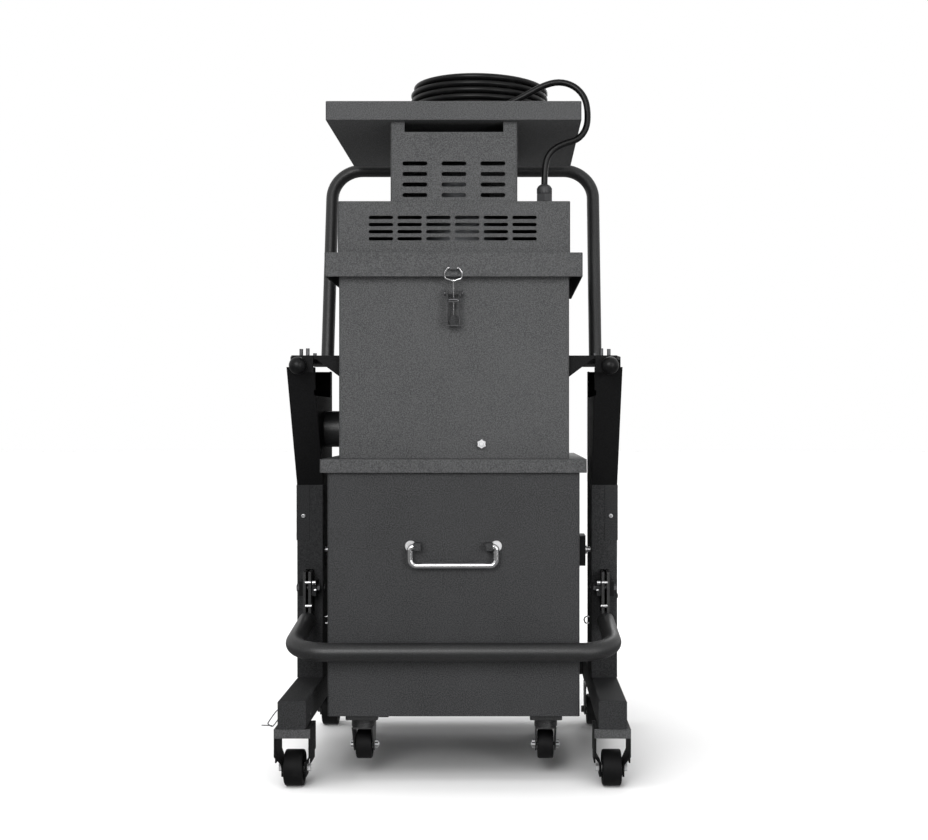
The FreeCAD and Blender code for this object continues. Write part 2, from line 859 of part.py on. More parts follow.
def rotor():
    fan_low = pan_top + 2 * drum_wall
    fan_top = fan_low + fan_height
    axis = V(0, motor_y, 0)
    shaft = rod(axis + V(0, 0, fan_low), axis + V(0, 0, drum_top + motor_height), shaft_diameter)
    disc = rod(axis + V(0, 0, fan_top - fan_sheet), axis + V(0, 0, fan_top), fan_diameter)
    blades = []
    for index in range(fan_blades):
        blade = block((shaft_diameter / 2 - room, fan_diameter / 2), centred(motor_y, fan_sheet),
                      (fan_low, fan_top))
        blade.rotate(axis, V(0, 0, 1), index * 360 / fan_blades)
        blades.append(blade)
    return join(shaft, disc, *blades)


# Latch

pivot_point = V(0, chamber_front - latch_pivot_out, pan_bottom - latch_pivot_drop)
trunnion = pivot_point + V(0, -trunnion_out, -trunnion_drop)
loop_bar = V(0, pan_front - loop_bar_out, pan_bottom + loop_bar_rise)


def latch_base():
    top = pan_bottom - latch_plate_drop
    plate = block(centred(0, latch_plate_width), (chamber_front - latch_sheet, chamber_front),
                  (top - latch_plate_height, top))
    plate = rounded(plate, latch_sheet, V(0, 1, 0))
    ears = []
    start = lever_width / 2 + slip
    for inner in (start, -start - latch_sheet):
        ear = block((inner, inner + latch_sheet), (pivot_point.y - latch_pin, chamber_front),
                    centred(pivot_point.z, latch_ear))
        ears.append(ear)
    half = start + 2 * latch_sheet
    pin = rod(pivot_point + V(-half, 0, 0), pivot_point + V(half, 0, 0), latch_pin)
    return join(plate, pin, *ears)


def latch_lever():
    half = lever_width / 2
    top = pivot_point.z + latch_pin
    low = top - lever_length
    front = trunnion.y - trunnion_diameter
    back = pivot_point.y + latch_pin
    cheeks = []
    for inner in (half - lever_cheek, -half):
        cheek = block((inner, inner + lever_cheek), (front, back), (low, top))
        cheeks.append(rounded(cheek, lever_cheek, V(1, 0, 0)))
    web_z = (low, trunnion.z - rod_tail - room)
    web = block((-half, half), (back - lever_cheek, back - lever_cheek / 2), web_z)
    lip = block((-half, half), (front - lever_cheek, back - lever_cheek / 2), (low, low + lever_cheek))
    body = join(cheeks[0], cheeks[1], web, lip)
    pin_hole = rod(pivot_point + V(-half, 0, 0), pivot_point + V(half, 0, 0), latch_pin + 2 * fit)
    trunnion_hole = rod(trunnion + V(-half, 0, 0), trunnion + V(half, 0, 0), trunnion_diameter + 2 * fit)
    return body.cut([pin_hole, trunnion_hole])


def latch_loop():
    barrel_half = lever_width / 2
    barrel = rod(trunnion + V(-barrel_half, 0, 0), trunnion + V(barrel_half, 0, 0), trunnion_diameter)
    up = loop_bar - trunnion
    up.normalize()
    neck = loop_bar - up * loop_height
    stem = rod(trunnion - up * rod_tail, neck + up * wire, wire)
    half = loop_width / 2
    side_low = neck + V(half, 0, 0) + up * loop_low_shoulder
    side_high = loop_bar + V(half, 0, 0) - up * loop_high_shoulder
    top_right = loop_bar + V(hook_width / 2 + wire, 0, 0)
    right = [neck, side_low, side_high, top_right]
    left = [V(-point.x, point.y, point.z) for point in reversed(right)]
    bends = [loop_bend, loop_bend, loop_top_bend]
    path = bent_path(right + left, bends + bends[::-1])
    return join(barrel, stem, along(path, wire))


def latch_hook():
    x = centred(0, hook_width)
    floor_z = loop_bar.z - wire / 2 - slip
    lip_y = pan_front - hook_gap
    low = floor_z - latch_sheet
    foot_z = pan_bottom + latch_sheet
    lip_top = loop_bar.z + hook_lip
    side = [(pan_front, foot_z), (pan_front, floor_z), (lip_y, floor_z), (lip_y, lip_top),
            (lip_y - latch_sheet, lip_top), (lip_y - latch_sheet, low), (pan_front - latch_sheet, low),
            (pan_front - latch_sheet, foot_z)]
    return prism([(x[0], y, z) for y, z in side], V(hook_width, 0, 0))


# Ball knobs and lock pin

def ball_knob():
    lip_front = bracket_front - bracket_flange
    centre = V(foot_centre_x, lip_front - ball_diameter / 2 - slip, arm_top + ball_rise)
    ball = Part.makeSphere(ball_diameter / 2, centre)
    shank = rod(centre, centre + V(0, ball_pin_length, 0), ball_pin)
    return join(ball, shank)


def lock_pin():
    face = -foot_outer - slip
    start = V(face, bin_front_y, lock_pin_z)
    shank = rod(start, start + V(foot_size + lock_pin_reach, 0, 0), lock_pin_diameter)
    head = rod(start, start + V(-lock_head_height, 0, 0), lock_head)
    grip = start + V(-lock_head_height / 2, 0, 0)
    sag = lock_ring_drop / 2
    points = [grip, grip + V(0, 0, lock_ring_rise), grip + V(-lock_ring_out, 0, -sag),
              grip + V(-lock_ring_out / 2, 0, -lock_ring_drop), grip + V(0, 0, -sag)]
    ring = bent_tube(points, lock_wire, lock_wire)
    tail_start = grip + V(lock_wire - lock_ring_out, 0, -sag - lock_wire / 2)
    tail = rod(tail_start, tail_start + V(-lock_tail, 0, 0), lock_wire)
    return join(shank, head, ring, tail)


# Bin and its fittings

def dust_bin():
    y = (bin_front_y, bin_back)
    outer = upright_box(centred(0, bin_width), y, (bin_bottom, bin_top), corner)
    inner = block(centred(0, bin_width - 2 * bin_sheet), (y[0] + bin_sheet, y[1] - bin_sheet),
                  (bin_bottom + bin_sheet, bin_top))
    return outer.cut(inner)


def bail_socket():
    disc = rod(V(bail_spread, bin_front_y, bail_z), V(bail_spread, bin_front_y - bail_washer_height, bail_z),
               bail_washer)
    lug_x = bail_spread - bail_rod / 2 - slip - bail_lug
    lug = block((lug_x, lug_x + bail_lug), (bail_y - bail_rod / 2 - bail_washer_height, bin_front_y),
                centred(bail_z, bail_rod + 2 * bail_washer_height))
    hole = rod(V(lug_x, bail_y, bail_z), V(lug_x + bail_lug, bail_y, bail_z), bail_rod + 2 * fit)
    return join(disc, lug).cut(hole)


def bail_handle():
    drop = bail_z - bail_drop
    inner = bail_spread - bail_stub
    points = [V(inner, bail_y, bail_z), V(bail_spread, bail_y, bail_z), V(bail_spread, bail_y, drop),
              V(-bail_spread, bail_y, drop), V(-bail_spread, bail_y, bail_z), V(-inner, bail_y, bail_z)]
    path = bent_path(points, [bail_rod / 2 + fit, bail_bend, bail_bend, bail_rod / 2 + fit])
    return along(path, bail_rod)


def bin_bracket():
    side = bin_width / 2
    x = (side, side + bin_bracket_width)
    y = centred(peg_y, bin_bracket_depth)
    z = centred(peg_z, bin_bracket_height)
    wall = bin_bracket_sheet
    channel = block(x, y, z).cut(block((x[0], x[1] - wall), y, (z[0] + wall, z[1] - wall)))
    peg_half = peg_shank / 2 + slip
    mouth = block((x[1] - wall, x[1]), (peg_y - peg_half, y[1]), centred(peg_z, 2 * peg_half))
    return channel.cut(mouth)


def lift_peg():
    web = bin_width / 2 + bin_bracket_width
    tip = web - bin_bracket_sheet - peg_reach
    block_x = (foot_inner + post_wall + room, foot_inner + post_wall + room + carriage_width)
    shank = rod(V(tip, peg_y, peg_z), V(block_x[0], peg_y, peg_z), peg_shank)
    flange = rod(V(web + room, peg_y, peg_z), V(web + room + peg_flange_height, peg_y, peg_z), peg_flange)
    horn_top = pivot_z + horn_rise + horn_tip
    carriage = block(block_x, centred(peg_y, carriage_depth), (horn_top + slip, peg_z + carriage_top))
    return join(shank, flange, carriage)


def foot_bar():
    half = foot_centre_x + foot_bar_flare
    end_y = pivot_y - lever_front
    end_z = pivot_z - lever_bottom + foot_bar_tube / 2
    bar_y = bin_front_y - foot_bar_reach
    bar_z = pivot_z - foot_bar_drop
    nose_y = peg_y - horn_short
    points = [V(-foot_centre_x, end_y, end_z), V(-half, bar_y, bar_z), V(half, bar_y, bar_z),
              V(foot_centre_x, end_y, end_z)]
    tube = bent_tube(points, foot_bar_bend, foot_bar_tube, foot_bar_wall)
    plates = []
    for side in SIDES:
        for inner in (lever_inner, lever_outer - lever_plate):
            x = inner if side > 0 else -inner - lever_plate
            y = (pivot_y - lever_front - lever_plate, pivot_y + lever_back)
            upright = block((x, x + lever_plate), y, (pivot_z - lever_bottom, pivot_z + lever_top))
            tip = V(x, nose_y, pivot_z + horn_rise)
            outline = [(x, pivot_y, pivot_z - horn_tip), (x, tip.y, tip.z - horn_tip),
                       (x, tip.y, tip.z + horn_tip), (x, pivot_y, pivot_z + horn_tip)]
            horn = prism(outline, V(lever_plate, 0, 0))
            nose = rod(tip, tip + V(lever_plate, 0, 0), 2 * horn_tip)
            hole = rod(V(x, pivot_y, pivot_z), V(x + lever_plate, pivot_y, pivot_z), pivot_bolt + 2 * fit)
            plates.append(join(upright, horn, nose).cut(hole))
        x = lever_inner if side > 0 else -lever_outer
        plates.append(block((x, x + lever_plates_width), (end_y - lever_plate, end_y),
                            (pivot_z - lever_bottom, end_z)))
    return join(tube, *plates)


# Bin castors

def bin_castor_plate(y):
    low = bin_bottom - bin_plate_height
    plate = block(centred(bin_castor_x, bin_plate), centred(y, bin_plate), (low, bin_bottom))
    plate = rounded(plate, corner, V(0, 0, 1))
    race = rod(V(bin_castor_x, y, low), V(bin_castor_x, y, bin_fork_top), bin_race)
    return join(plate, race)


def bin_castor_plates():
    front = bin_castor_plate(bin_front_swivel)
    rear = bin_castor_plate(bin_rear_axle)
    return Part.makeCompound([mirrored(front), front, mirrored(rear), rear])


def bin_fork(swivel_y, trail, drop):
    fork, axle = swivel_fork(bin_castor_x, swivel_y, trail, bin_fork_top - drop, bin_axle_z, bin_axle_half,
                             bin_fork_sheet, bin_race, bin_race_height, bin_axle, axle_nut)
    return Part.makeCompound([fork, axle])


# Fasteners

def bolts():
    items = []
    lug_half = lever_plates_width / 2 + slip + clevis_lug
    for side in SIDES:
        x = side * foot_centre_x
        pin = rod(V(x - lug_half, pivot_y, pivot_z), V(x + lug_half, pivot_y, pivot_z), pivot_bolt)
        head = hexagon(V(x + side * -lug_half, pivot_y, pivot_z), V(-side, 0, 0), axle_nut, axle_nut_height)
        nut = hexagon(V(x + side * lug_half, pivot_y, pivot_z), V(side, 0, 0), axle_nut, axle_nut_height)
        items.append(join(pin, head, nut))
        for across, back, height in studs:
            foot = V(side * (foot_centre_x + across), bracket_front + back, bracket_top)
            items.append(rod(foot, foot + V(0, 0, height), stud_diameter))
        screw = V(side * (foot_outer - post_screw_inset), post_front, post_top - post_screw_drop)
        items.append(rod(screw, screw + V(0, -post_screw_height, 0), post_screw))
    nut_at = V(front_nut_x, chamber_front, chamber_bottom + front_nut_height)
    items.append(hexagon(nut_at, V(0, -1, 0), front_nut_size, front_nut_length))
    return Part.makeCompound(items)


# Mains cord

gland_x = lower_width / 2 - gland_side_inset
gland_y = head_front + gland_inset
gland_top = lower_top + gland_height
coil_y = bin_front_y + coil_setback
coil_pitch = cord + coil_gap
coil_z = tray_top + cord / 2 + coil_gap
plug_lift = (plug_diameter - cord) / 2
last_turn = 2 * coil_turns + coil_tail
tuck_start = 2 * coil_turns - coil_run_in


def ease(value):
    value = min(max(value, 0.0), 1.0)
    return value * value * (3 - 2 * value)


def coil_point(turn):
    # Up the outer column, over, down the inner column, then in to the plug
    radius = coil_radius + coil_pitch * (1 - ease(turn / coil_run_in))
    radius -= coil_pitch * ease((turn - coil_turns + coil_run_in) / coil_crossing)
    tuck = ease((turn - tuck_start) / (last_turn - tuck_start))
    radius += (plug_radius - radius) * tuck
    level = turn if turn < coil_turns else max(2 * coil_turns - turn, 0.0)
    angle = -math.pi / 2 - 2 * math.pi * turn
    z = coil_z + coil_pitch * level + plug_lift * tuck
    return V(coil_x + radius * math.cos(angle), coil_y + radius * math.sin(angle), z)


def coil_heading(turn):
    step = 0.02
    run = coil_point(turn + step) - coil_point(turn - step)
    return run.normalize()


def arc_from(start, heading, end):
    chord = end - start
    lean = heading.getAngle(chord)
    rise = heading - chord * (heading.dot(chord) / chord.dot(chord))
    if rise.Length < 1e-6:
        return Part.LineSegment(start, end).toShape()
    middle = start + chord * 0.5 + rise.normalize() * (chord.Length / 2 * math.tan(lean / 2))
    return Part.Arc(start, middle, end).toShape()


def biarc(start, heading, end, final):
    gap = end - start
    both = heading + final
    spread = 2 * (1 - heading.dot(final))
    ahead = gap.dot(both)
    reach = (math.sqrt(ahead * ahead + spread * gap.dot(gap)) - ahead) / spread
    middle = (start + end + (heading - final) * reach) * 0.5
    first = arc_from(start, heading, middle)
    turn_back = arc_from(end, final * -1, middle)
    turn_back.reverse()
    return [first, turn_back]


coil_start = coil_point(0.0)
coil_first_heading = coil_heading(0.0)
coil_end = coil_point(last_turn)
coil_last_heading = coil_heading(last_turn)
coil_mouth = coil_start - coil_first_heading * cord
plug_face = coil_end + coil_last_heading * cord


def cord_coil():
    quarter = 0.25
    stops = [k * quarter for k in range(int(last_turn / quarter) + 1)]
    edges = [Part.LineSegment(coil_mouth, coil_start).toShape()]
    for low, high in zip(stops, stops[1:]):
        edges += biarc(coil_point(low), coil_heading(low), coil_point(high), coil_heading(high))
    edges.append(Part.LineSegment(coil_end, plug_face).toShape())
    return along(Part.Wire(edges), cord)


def coil_least_gap():
    per_turn = 20
    count = int(last_turn * per_turn)
    points = [coil_point(k / per_turn) for k in range(count + 1)]
    half_turn = per_turn // 2
    least = min((a - b).Length for k, a in enumerate(points) for b in points[k + half_turn:])
    return least - cord


# Route of the lead from the gland over the tray's edge to the coil
lead_route = [
    V(gland_x, gland_y, gland_top), V(gland_x, gland_y, gland_top + 36), V(206, gland_y, 1366),
    V(236, gland_y, 1386), V(270, gland_y, 1394), V(290, gland_y + 1, 1419), V(293, gland_y + 3, 1454),
    V(287, gland_y + 7, 1490), V(263, gland_y + 11, 1517), V(228, gland_y + 15, 1527),
    V(193, gland_y + 19, 1518), V(160, gland_y + 23, 1500), V(126, gland_y + 27, 1484),
    coil_mouth - coil_first_heading * lead_run_in, coil_mouth]


def lead_radii():
    radii = []
    for before, here, after in zip(lead_route, lead_route[1:], lead_route[2:]):
        back = before - here
        ahead = after - here
        half_turn = (math.pi - back.getAngle(ahead)) / 2
        radii.append(lead_arc_share * min(back.Length, ahead.Length) / math.tan(half_turn))
    return radii


def cord_lead():
    return along(bent_path(lead_route, lead_radii()), cord)


def gland():
    base = V(gland_x, gland_y, lower_top)
    radius = gland_hex / math.sqrt(3)
    low = gland_nut_height
    body = hexagon(base, V(0, 0, 1), gland_hex, low)
    cap = [(low, 0), (low, radius - gland_draft), (low + gland_bevel, radius),
           (gland_height - 2 * gland_bevel, radius), (gland_height - gland_bevel, radius - gland_draft),
           (gland_height, cord / 2 + cord_lip), (gland_height, 0)]
    return join(body, revolved(cap, base, V(0, 0, 1)))


def plug():
    radius = plug_diameter / 2
    profile = [(0, 0), (0, cord / 2 + cord_lip), (plug_neck, plug_neck_diameter / 2),
               (plug_neck + plug_shoulder, radius), (plug_length, radius), (plug_length, 0)]
    body = revolved(profile, plug_face, coil_last_heading)
    across = V(0, 0, 1).cross(coil_last_heading).normalize()
    face = plug_face + coil_last_heading * plug_length
    pins = []
    for side in SIDES:
        foot = face + across * (side * plug_pin_spacing / 2)
        pins.append(rod(foot, foot + coil_last_heading * plug_pin_length, plug_pin))
    return join(body, *pins)


# Build every piece

save("foot_tubes", foot_tubes())
save("foot_end_caps", foot_end_caps())
save("rear_crossbeam", rear_crossbeam())
save("post_left", mirrored(post()))
save("post_right", post())
save("arm_left", left_arm())
save("arm_right", arm())
save("side_brackets", pair(side_bracket()))
save("push_handle", push_handle())
save("front_castor_brackets", pair(front_castor_bracket()))
save("front_axles", pair(front_axle()))
save("rear_castor_plates", pair(rear_castor_plate()))
save("bolts", bolts())
save("collar", collar())
save("chamber", chamber())
save("inlet_pipe", inlet_pipe())
save("filter_plate", filter_plate())
save("filter_cartridge", filter_cartridge())
save("lid_seal", lid_seal())
save("bin_seal", bin_seal())
save("lid_pan", lid_pan())
save("lower_housing", lower_housing())
save("upper_housing", upper_housing())
save("tray", tray())
save("tray_base", tray_base())
save("motor_drum", motor_drum())
save("motor_body", motor_body())
save("rotor", rotor())
save("latch_base", latch_base())
save("latch_lever", latch_lever())
save("latch_loop", latch_loop())
save("latch_hook", latch_hook())
save("foot_bar", foot_bar())
save("lift_pegs", pair(lift_peg()))
save("bin", dust_bin())
save("bin_brackets", pair(bin_bracket()))
save("bail_sockets", pair(bail_socket()))
save("bail_handle", bail_handle())
save("bin_castor_plates", bin_castor_plates())
save("bin_rear_forks", pair(bin_fork(bin_rear_axle, 0.0, 0.0)))
save("gland", gland())
save("cord_lead", cord_lead())
save("cord_coil", cord_coil())
save("plug", plug())
save("lock_pin", lock_pin())

for side, flip in (("left", mirrored), ("right", lambda shape: shape)):
    save("ball_knob_" + side, flip(ball_knob()))
    save("rear_fork_" + side, flip(rear_fork()))
    save("bin_fork_" + side, flip(bin_fork(bin_front_swivel, bin_trail, slip)))
    for place, y in (("front", front_axle_y), ("rear", rear_axle_y)):
        centre = V(foot_centre_x, y, wheel_radius)
        wheel = castor_wheel(centre, wheel_radius, wheel_width, axle_diameter)
        save(place + "_wheel_" + side, flip(wheel))
    for place, y in (("front", bin_front_axle), ("rear", bin_rear_axle)):
        centre = V(bin_castor_x, y, bin_axle_z)
        wheel = castor_wheel(centre, bin_wheel_radius, bin_wheel_width, bin_axle)
        save("bin_" + place + "_wheel_" + side, flip(wheel))

lead_length = bent_path(lead_route, lead_radii()).Length
print("lead radii", [round(radius) for radius in lead_radii()], "length", round(lead_length))
print("coil least gap", round(coil_least_gap(), 2))
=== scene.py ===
import json
import math

import bmesh
import bpy
from mathutils import Matrix, Vector

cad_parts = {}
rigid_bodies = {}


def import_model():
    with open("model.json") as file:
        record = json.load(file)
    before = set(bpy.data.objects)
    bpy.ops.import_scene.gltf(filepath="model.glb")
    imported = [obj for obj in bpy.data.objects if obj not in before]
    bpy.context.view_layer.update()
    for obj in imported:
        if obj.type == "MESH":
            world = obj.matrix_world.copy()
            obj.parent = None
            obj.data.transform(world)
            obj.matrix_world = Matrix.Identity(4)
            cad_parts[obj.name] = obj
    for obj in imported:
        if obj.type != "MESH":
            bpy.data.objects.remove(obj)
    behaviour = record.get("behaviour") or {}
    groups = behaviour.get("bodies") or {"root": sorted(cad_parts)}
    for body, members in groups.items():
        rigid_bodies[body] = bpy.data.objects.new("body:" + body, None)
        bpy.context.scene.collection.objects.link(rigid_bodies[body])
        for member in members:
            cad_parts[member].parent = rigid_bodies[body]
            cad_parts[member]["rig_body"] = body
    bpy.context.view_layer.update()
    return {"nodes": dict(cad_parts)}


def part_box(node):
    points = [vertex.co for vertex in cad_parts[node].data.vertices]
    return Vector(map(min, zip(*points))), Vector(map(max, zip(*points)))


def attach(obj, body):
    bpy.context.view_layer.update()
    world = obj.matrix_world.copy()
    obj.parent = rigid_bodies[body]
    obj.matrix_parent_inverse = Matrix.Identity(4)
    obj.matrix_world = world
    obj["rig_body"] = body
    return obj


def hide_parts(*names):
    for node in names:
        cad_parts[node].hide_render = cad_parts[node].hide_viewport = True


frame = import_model()

# An upright industrial dust extractor: sheet-steel head and chamber over a roll-out bin.
# Metres. X to the right, Y to the back, Z up from the floor.
nodes = frame["nodes"]
SIDES = (("left", -1), ("right", 1))
MM = 0.001
X_AXIS, Y_AXIS, Z_AXIS = Vector((1, 0, 0)), Vector((0, 1, 0)), Vector((0, 0, 1))


# Finishes

class Value:
    """A number that changes over a surface. Arithmetic on it adds Math nodes."""

    def __init__(self, finish, socket):
        self.finish = finish
        self.socket = socket

    def combine(self, operation, first, second):
        return self.finish.node("ShaderNodeMath", {"operation": operation}, {0: first, 1: second})

    def __add__(self, other):
        return self.combine("ADD", self, other)

    def __rsub__(self, other):
        return self.combine("SUBTRACT", other, self)

    def __mul__(self, other):
        return self.combine("MULTIPLY", self, other)

    __radd__ = __add__
    __rmul__ = __mul__


class Finish:
    """One material: its shader and the nodes that vary it."""

    def __init__(self, name):
        self.material = bpy.data.materials.new(name)
        self.material.use_nodes = True
        self.tree = self.material.node_tree
        self.shader = self.tree.nodes["Principled BSDF"]
        self.place = self.node("ShaderNodeTexCoord", {}, {}, "Object")

    def node(self, kind, settings, inputs, output=0):
        made = self.tree.nodes.new(kind)
        stops = settings.pop("stops", None)
        for key, value in settings.items():
            setattr(made, key, value)
        if stops:
            made.color_ramp.elements[0].position, made.color_ramp.elements[1].position = stops
        for socket, value in inputs.items():
            self.feed(made.inputs[socket], value)
        return Value(self, made.outputs[output])

    def feed(self, socket, value):
        if isinstance(value, Value):
            self.tree.links.new(value.socket, socket)
        else:
            socket.default_value = value

    def set(self, **values):
        for name, value in values.items():
            self.feed(self.shader.inputs[name.replace("_", " ")], value)
        return self.material

    def noise(self, scale, detail, rough, place=None):
        return self.node("ShaderNodeTexNoise", {}, {"Vector": place or self.place, "Scale": scale,
                                                    "Detail": detail, "Roughness": rough})

    def ramp(self, value, low, high):
        return self.node("ShaderNodeValToRGB", {"stops": (low, high)}, {0: value})

    def blend(self, factor, first, second):
        return self.node("ShaderNodeMix", {"data_type": "RGBA"},
                         {"Factor": factor, 6: (*first, 1) if isinstance(first, tuple) else first,
                          7: (*second, 1) if isinstance(second, tuple) else second}, 2)

    def bump(self, height, strength, depth):
        return self.node("ShaderNodeBump", {}, {"Height": height, "Strength": strength, "Distance": depth})


coat_grain = 440.0


def powder_coat(name, dark, light, rough, shine=0.3):
    """Fine sand-textured powder coat: pale specks in a darker ground, and slow clouding."""
    coat = Finish(name)
    speck = coat.ramp(coat.noise(coat_grain, 3.0, 0.75), 0.4, 0.62)
    cloud = coat.noise(6.0, 3.0, 0.55)
    ground = coat.blend(cloud, dark, tuple(0.5 * (a + b) for a, b in zip(dark, light)))
    colour = coat.blend(speck * 0.9, ground, light)
    peel = coat.noise(coat_grain * 1.4, 2.0, 0.6)
    return coat.set(Base_Color=colour, Roughness=rough - 0.12 * speck + 0.08 * cloud,
                    Specular_IOR_Level=shine, Normal=coat.bump(peel + 0.5 * speck, 0.35, 0.0004))


def plated(name, colour, rough, scratch=0.12, metal=1.0):
    """Plated steel with fine drawn scratches and faint stains."""
    plate = Finish(name)
    stretch = plate.node("ShaderNodeMapping", {}, {"Vector": plate.place, "Scale": (60.0, 60.0, 900.0)})
    lines = plate.noise(1.0, 3.0, 0.6, stretch)
    stain = plate.noise(35.0, 3.0, 0.6)
    shade = tuple(0.72 * c for c in colour)
    return plate.set(Base_Color=plate.blend(plate.ramp(stain, 0.5, 0.85), colour, shade), Metallic=metal,
                     Roughness=rough + scratch * lines, Normal=plate.bump(lines, 0.15, 0.0002))


dust_colour = (0.03, 0.029, 0.028)


def rubber(name, colour, rough, grain=700.0, shine=0.12):
    """Matt black rubber with a fine skin and a trace of dust."""
    skin = Finish(name)
    pores = skin.noise(grain, 2.0, 0.6)
    dirt = skin.ramp(skin.noise(28.0, 4.0, 0.65), 0.52, 0.8)
    return skin.set(Base_Color=skin.blend(dirt * 0.3, colour, dust_colour), Roughness=rough + 0.2 * dirt,
                    Specular_IOR_Level=shine, Normal=skin.bump(pores, 0.25, 0.0003))


def moulded(name, colour, rough, shine=0.5):
    """Moulded plastic with a faint spark-eroded texture."""
    plastic = Finish(name)
    grain = plastic.noise(900.0, 2.0, 0.5)
    wear = plastic.noise(22.0, 3.0, 0.6)
    light = tuple(1.5 * c for c in colour)
    return plastic.set(Base_Color=plastic.blend(wear, colour, light), Roughness=rough + 0.12 * wear,
                       Specular_IOR_Level=shine, Normal=plastic.bump(grain, 0.15, 0.0002))


def filter_cloth():
    cloth = Finish("pleated_filter_cloth")
    pleat_wave_and_shade = cloth.node("ShaderNodeTexWave", {"bands_direction": "X"}, {"Vector": cloth.place, "Scale": 45.0})
    # The pleat wave also darkens the colour in each fold: painted shade in the pleats.
    return cloth.set(Base_Color=cloth.blend(pleat_wave_and_shade, (0.5, 0.48, 0.43), (0.74, 0.72, 0.67)), Roughness=0.9,
                     Normal=cloth.bump(pleat_wave_and_shade, 0.8, 0.002))


charcoal = powder_coat("charcoal_powder_coat", (0.0335, 0.0338, 0.035), (0.155, 0.157, 0.16), 0.62)
charcoal_deep = powder_coat("deep_charcoal_powder_coat", (0.008, 0.0081, 0.0085), (0.085, 0.0862, 0.0893),
                            0.62)
frame_coat = powder_coat("frame_powder_coat", (0.018, 0.0182, 0.019), (0.07, 0.071, 0.0733), 0.72, 0.12)
black_coat = powder_coat("black_satin_powder_coat", (0.0055, 0.0055, 0.0057), (0.036, 0.0363, 0.0375),
                         0.4, 0.6)
arm_coat = powder_coat("black_plate_powder_coat", (0.0048, 0.0048, 0.0051), (0.0145, 0.0145, 0.0152),
                       0.62, 0.12)
chrome = plated("polished_chrome", (0.9, 0.9, 0.91), 0.1, 0.05)
zinc = plated("bright_zinc", (0.8, 0.8, 0.81), 0.24)
satin_zinc = plated("satin_zinc", (0.86, 0.86, 0.87), 0.4, 0.1, 0.45)
dark_steel = plated("dark_plated_steel", (0.13, 0.13, 0.135), 0.42)
motor_metal = plated("turned_motor_metal", (0.2, 0.205, 0.215), 0.5)
wheel_rubber = rubber("wheel_rubber", (0.008, 0.008, 0.0084), 0.55)
seal_rubber = rubber("seal_rubber", (0.015, 0.015, 0.015), 0.8)
cord_rubber = rubber("cable_sheath", (0.006, 0.006, 0.0063), 0.34, 500.0, 0.25)
black_plastic = moulded("black_plastic", (0.02, 0.02, 0.021), 0.42)
gland_plastic = moulded("grey_gland_plastic", (0.042, 0.0425, 0.0445), 0.45)
ball_plastic = moulded("polished_ball", (0.006, 0.006, 0.0064), 0.3, 0.22)
cloth = filter_cloth()


# Shaping by hand

smooth_angle = math.radians(36)
sharp_angle = math.radians(30)
same_point = 2e-6


def corners(node):
    """The low and high corners of a node's box."""
    return (Vector(corner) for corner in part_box(node))


def mirrored(sign, place):
    """A place given for the right side, taken to either side of the middle."""
    x, y, z = place
    return (sign * x, y, z)


def fresh():
    if bpy.context.object and bpy.context.object.mode != "OBJECT":
        bpy.ops.object.mode_set(mode="OBJECT")
    bpy.ops.object.select_all(action="DESELECT")


def only(piece):
    fresh()
    piece.select_set(True)
    bpy.context.view_layer.objects.active = piece


def settle(piece, place=(0, 0, 0), axis=Z_AXIS):
    """Turns the piece's Z to the axis, moves it to its place and applies both to its mesh."""
    only(piece)
    turn = Z_AXIS.rotation_difference(Vector(axis)).to_matrix().to_4x4()
    piece.matrix_world = Matrix.Translation(Vector(place)) @ turn @ piece.matrix_world
    bpy.ops.object.transform_apply(location=True, rotation=True, scale=True)
    bpy.ops.object.mode_set(mode="EDIT")
    bpy.ops.mesh.select_all(action="SELECT")
    bpy.ops.mesh.normals_make_consistent(inside=False)
    bpy.ops.object.mode_set(mode="OBJECT")
    bpy.ops.object.shade_smooth_by_angle(angle=smooth_angle)
    return piece


def finish(piece, material, body, slot, stands_for=()):
    piece.data.materials.clear()
    piece.data.materials.append(material)
    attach(piece, body)
    if stands_for:
        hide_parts(*stands_for)
    return piece


def pick_edges(piece, test):
    shape = bmesh.from_edit_mesh(piece.data)
    for edge in shape.edges:
        ends = [vertex.co for vertex in edge.verts]
        edge.select_set(test(edge, *ends))
    bmesh.update_edit_mesh(piece.data)


def sharp(edge, start, end):
    return len(edge.link_faces) == 2 and edge.calc_face_angle(0.0) > sharp_angle


def even_shading(piece):
    """Keeps broad faces flat beside their rounded edges."""
    even = piece.modifiers.new("even_shading", "WEIGHTED_NORMAL")
    even.keep_sharp = True


def eased(node, material, slot, width=0.0, test=sharp):
    """The node's own form, its doubled points merged and its chosen edges rounded, standing for the node."""
    only(nodes[node])
    bpy.ops.object.duplicate()
    piece = bpy.context.object
    piece.name = node + "_dressed"
    body = piece["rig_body"]
    for key in list(piece.keys()):
        del piece[key]
    bpy.ops.object.parent_clear(type="CLEAR_KEEP_TRANSFORM")
    bpy.ops.mesh.customdata_custom_splitnormals_clear()
    bpy.ops.object.mode_set(mode="EDIT")
    bpy.ops.mesh.select_mode(type="EDGE")
    bpy.ops.mesh.select_all(action="SELECT")
    bpy.ops.mesh.remove_doubles(threshold=same_point)
    if width:
        bpy.ops.mesh.select_all(action="DESELECT")
        pick_edges(piece, test)
        bpy.ops.mesh.bevel(offset=width, segments=2, affect="EDGES")
    bpy.ops.object.mode_set(mode="OBJECT")
    bpy.ops.object.shade_smooth_by_angle(angle=smooth_angle)
    even_shading(piece)
    return finish(piece, material, body, slot, (node,))


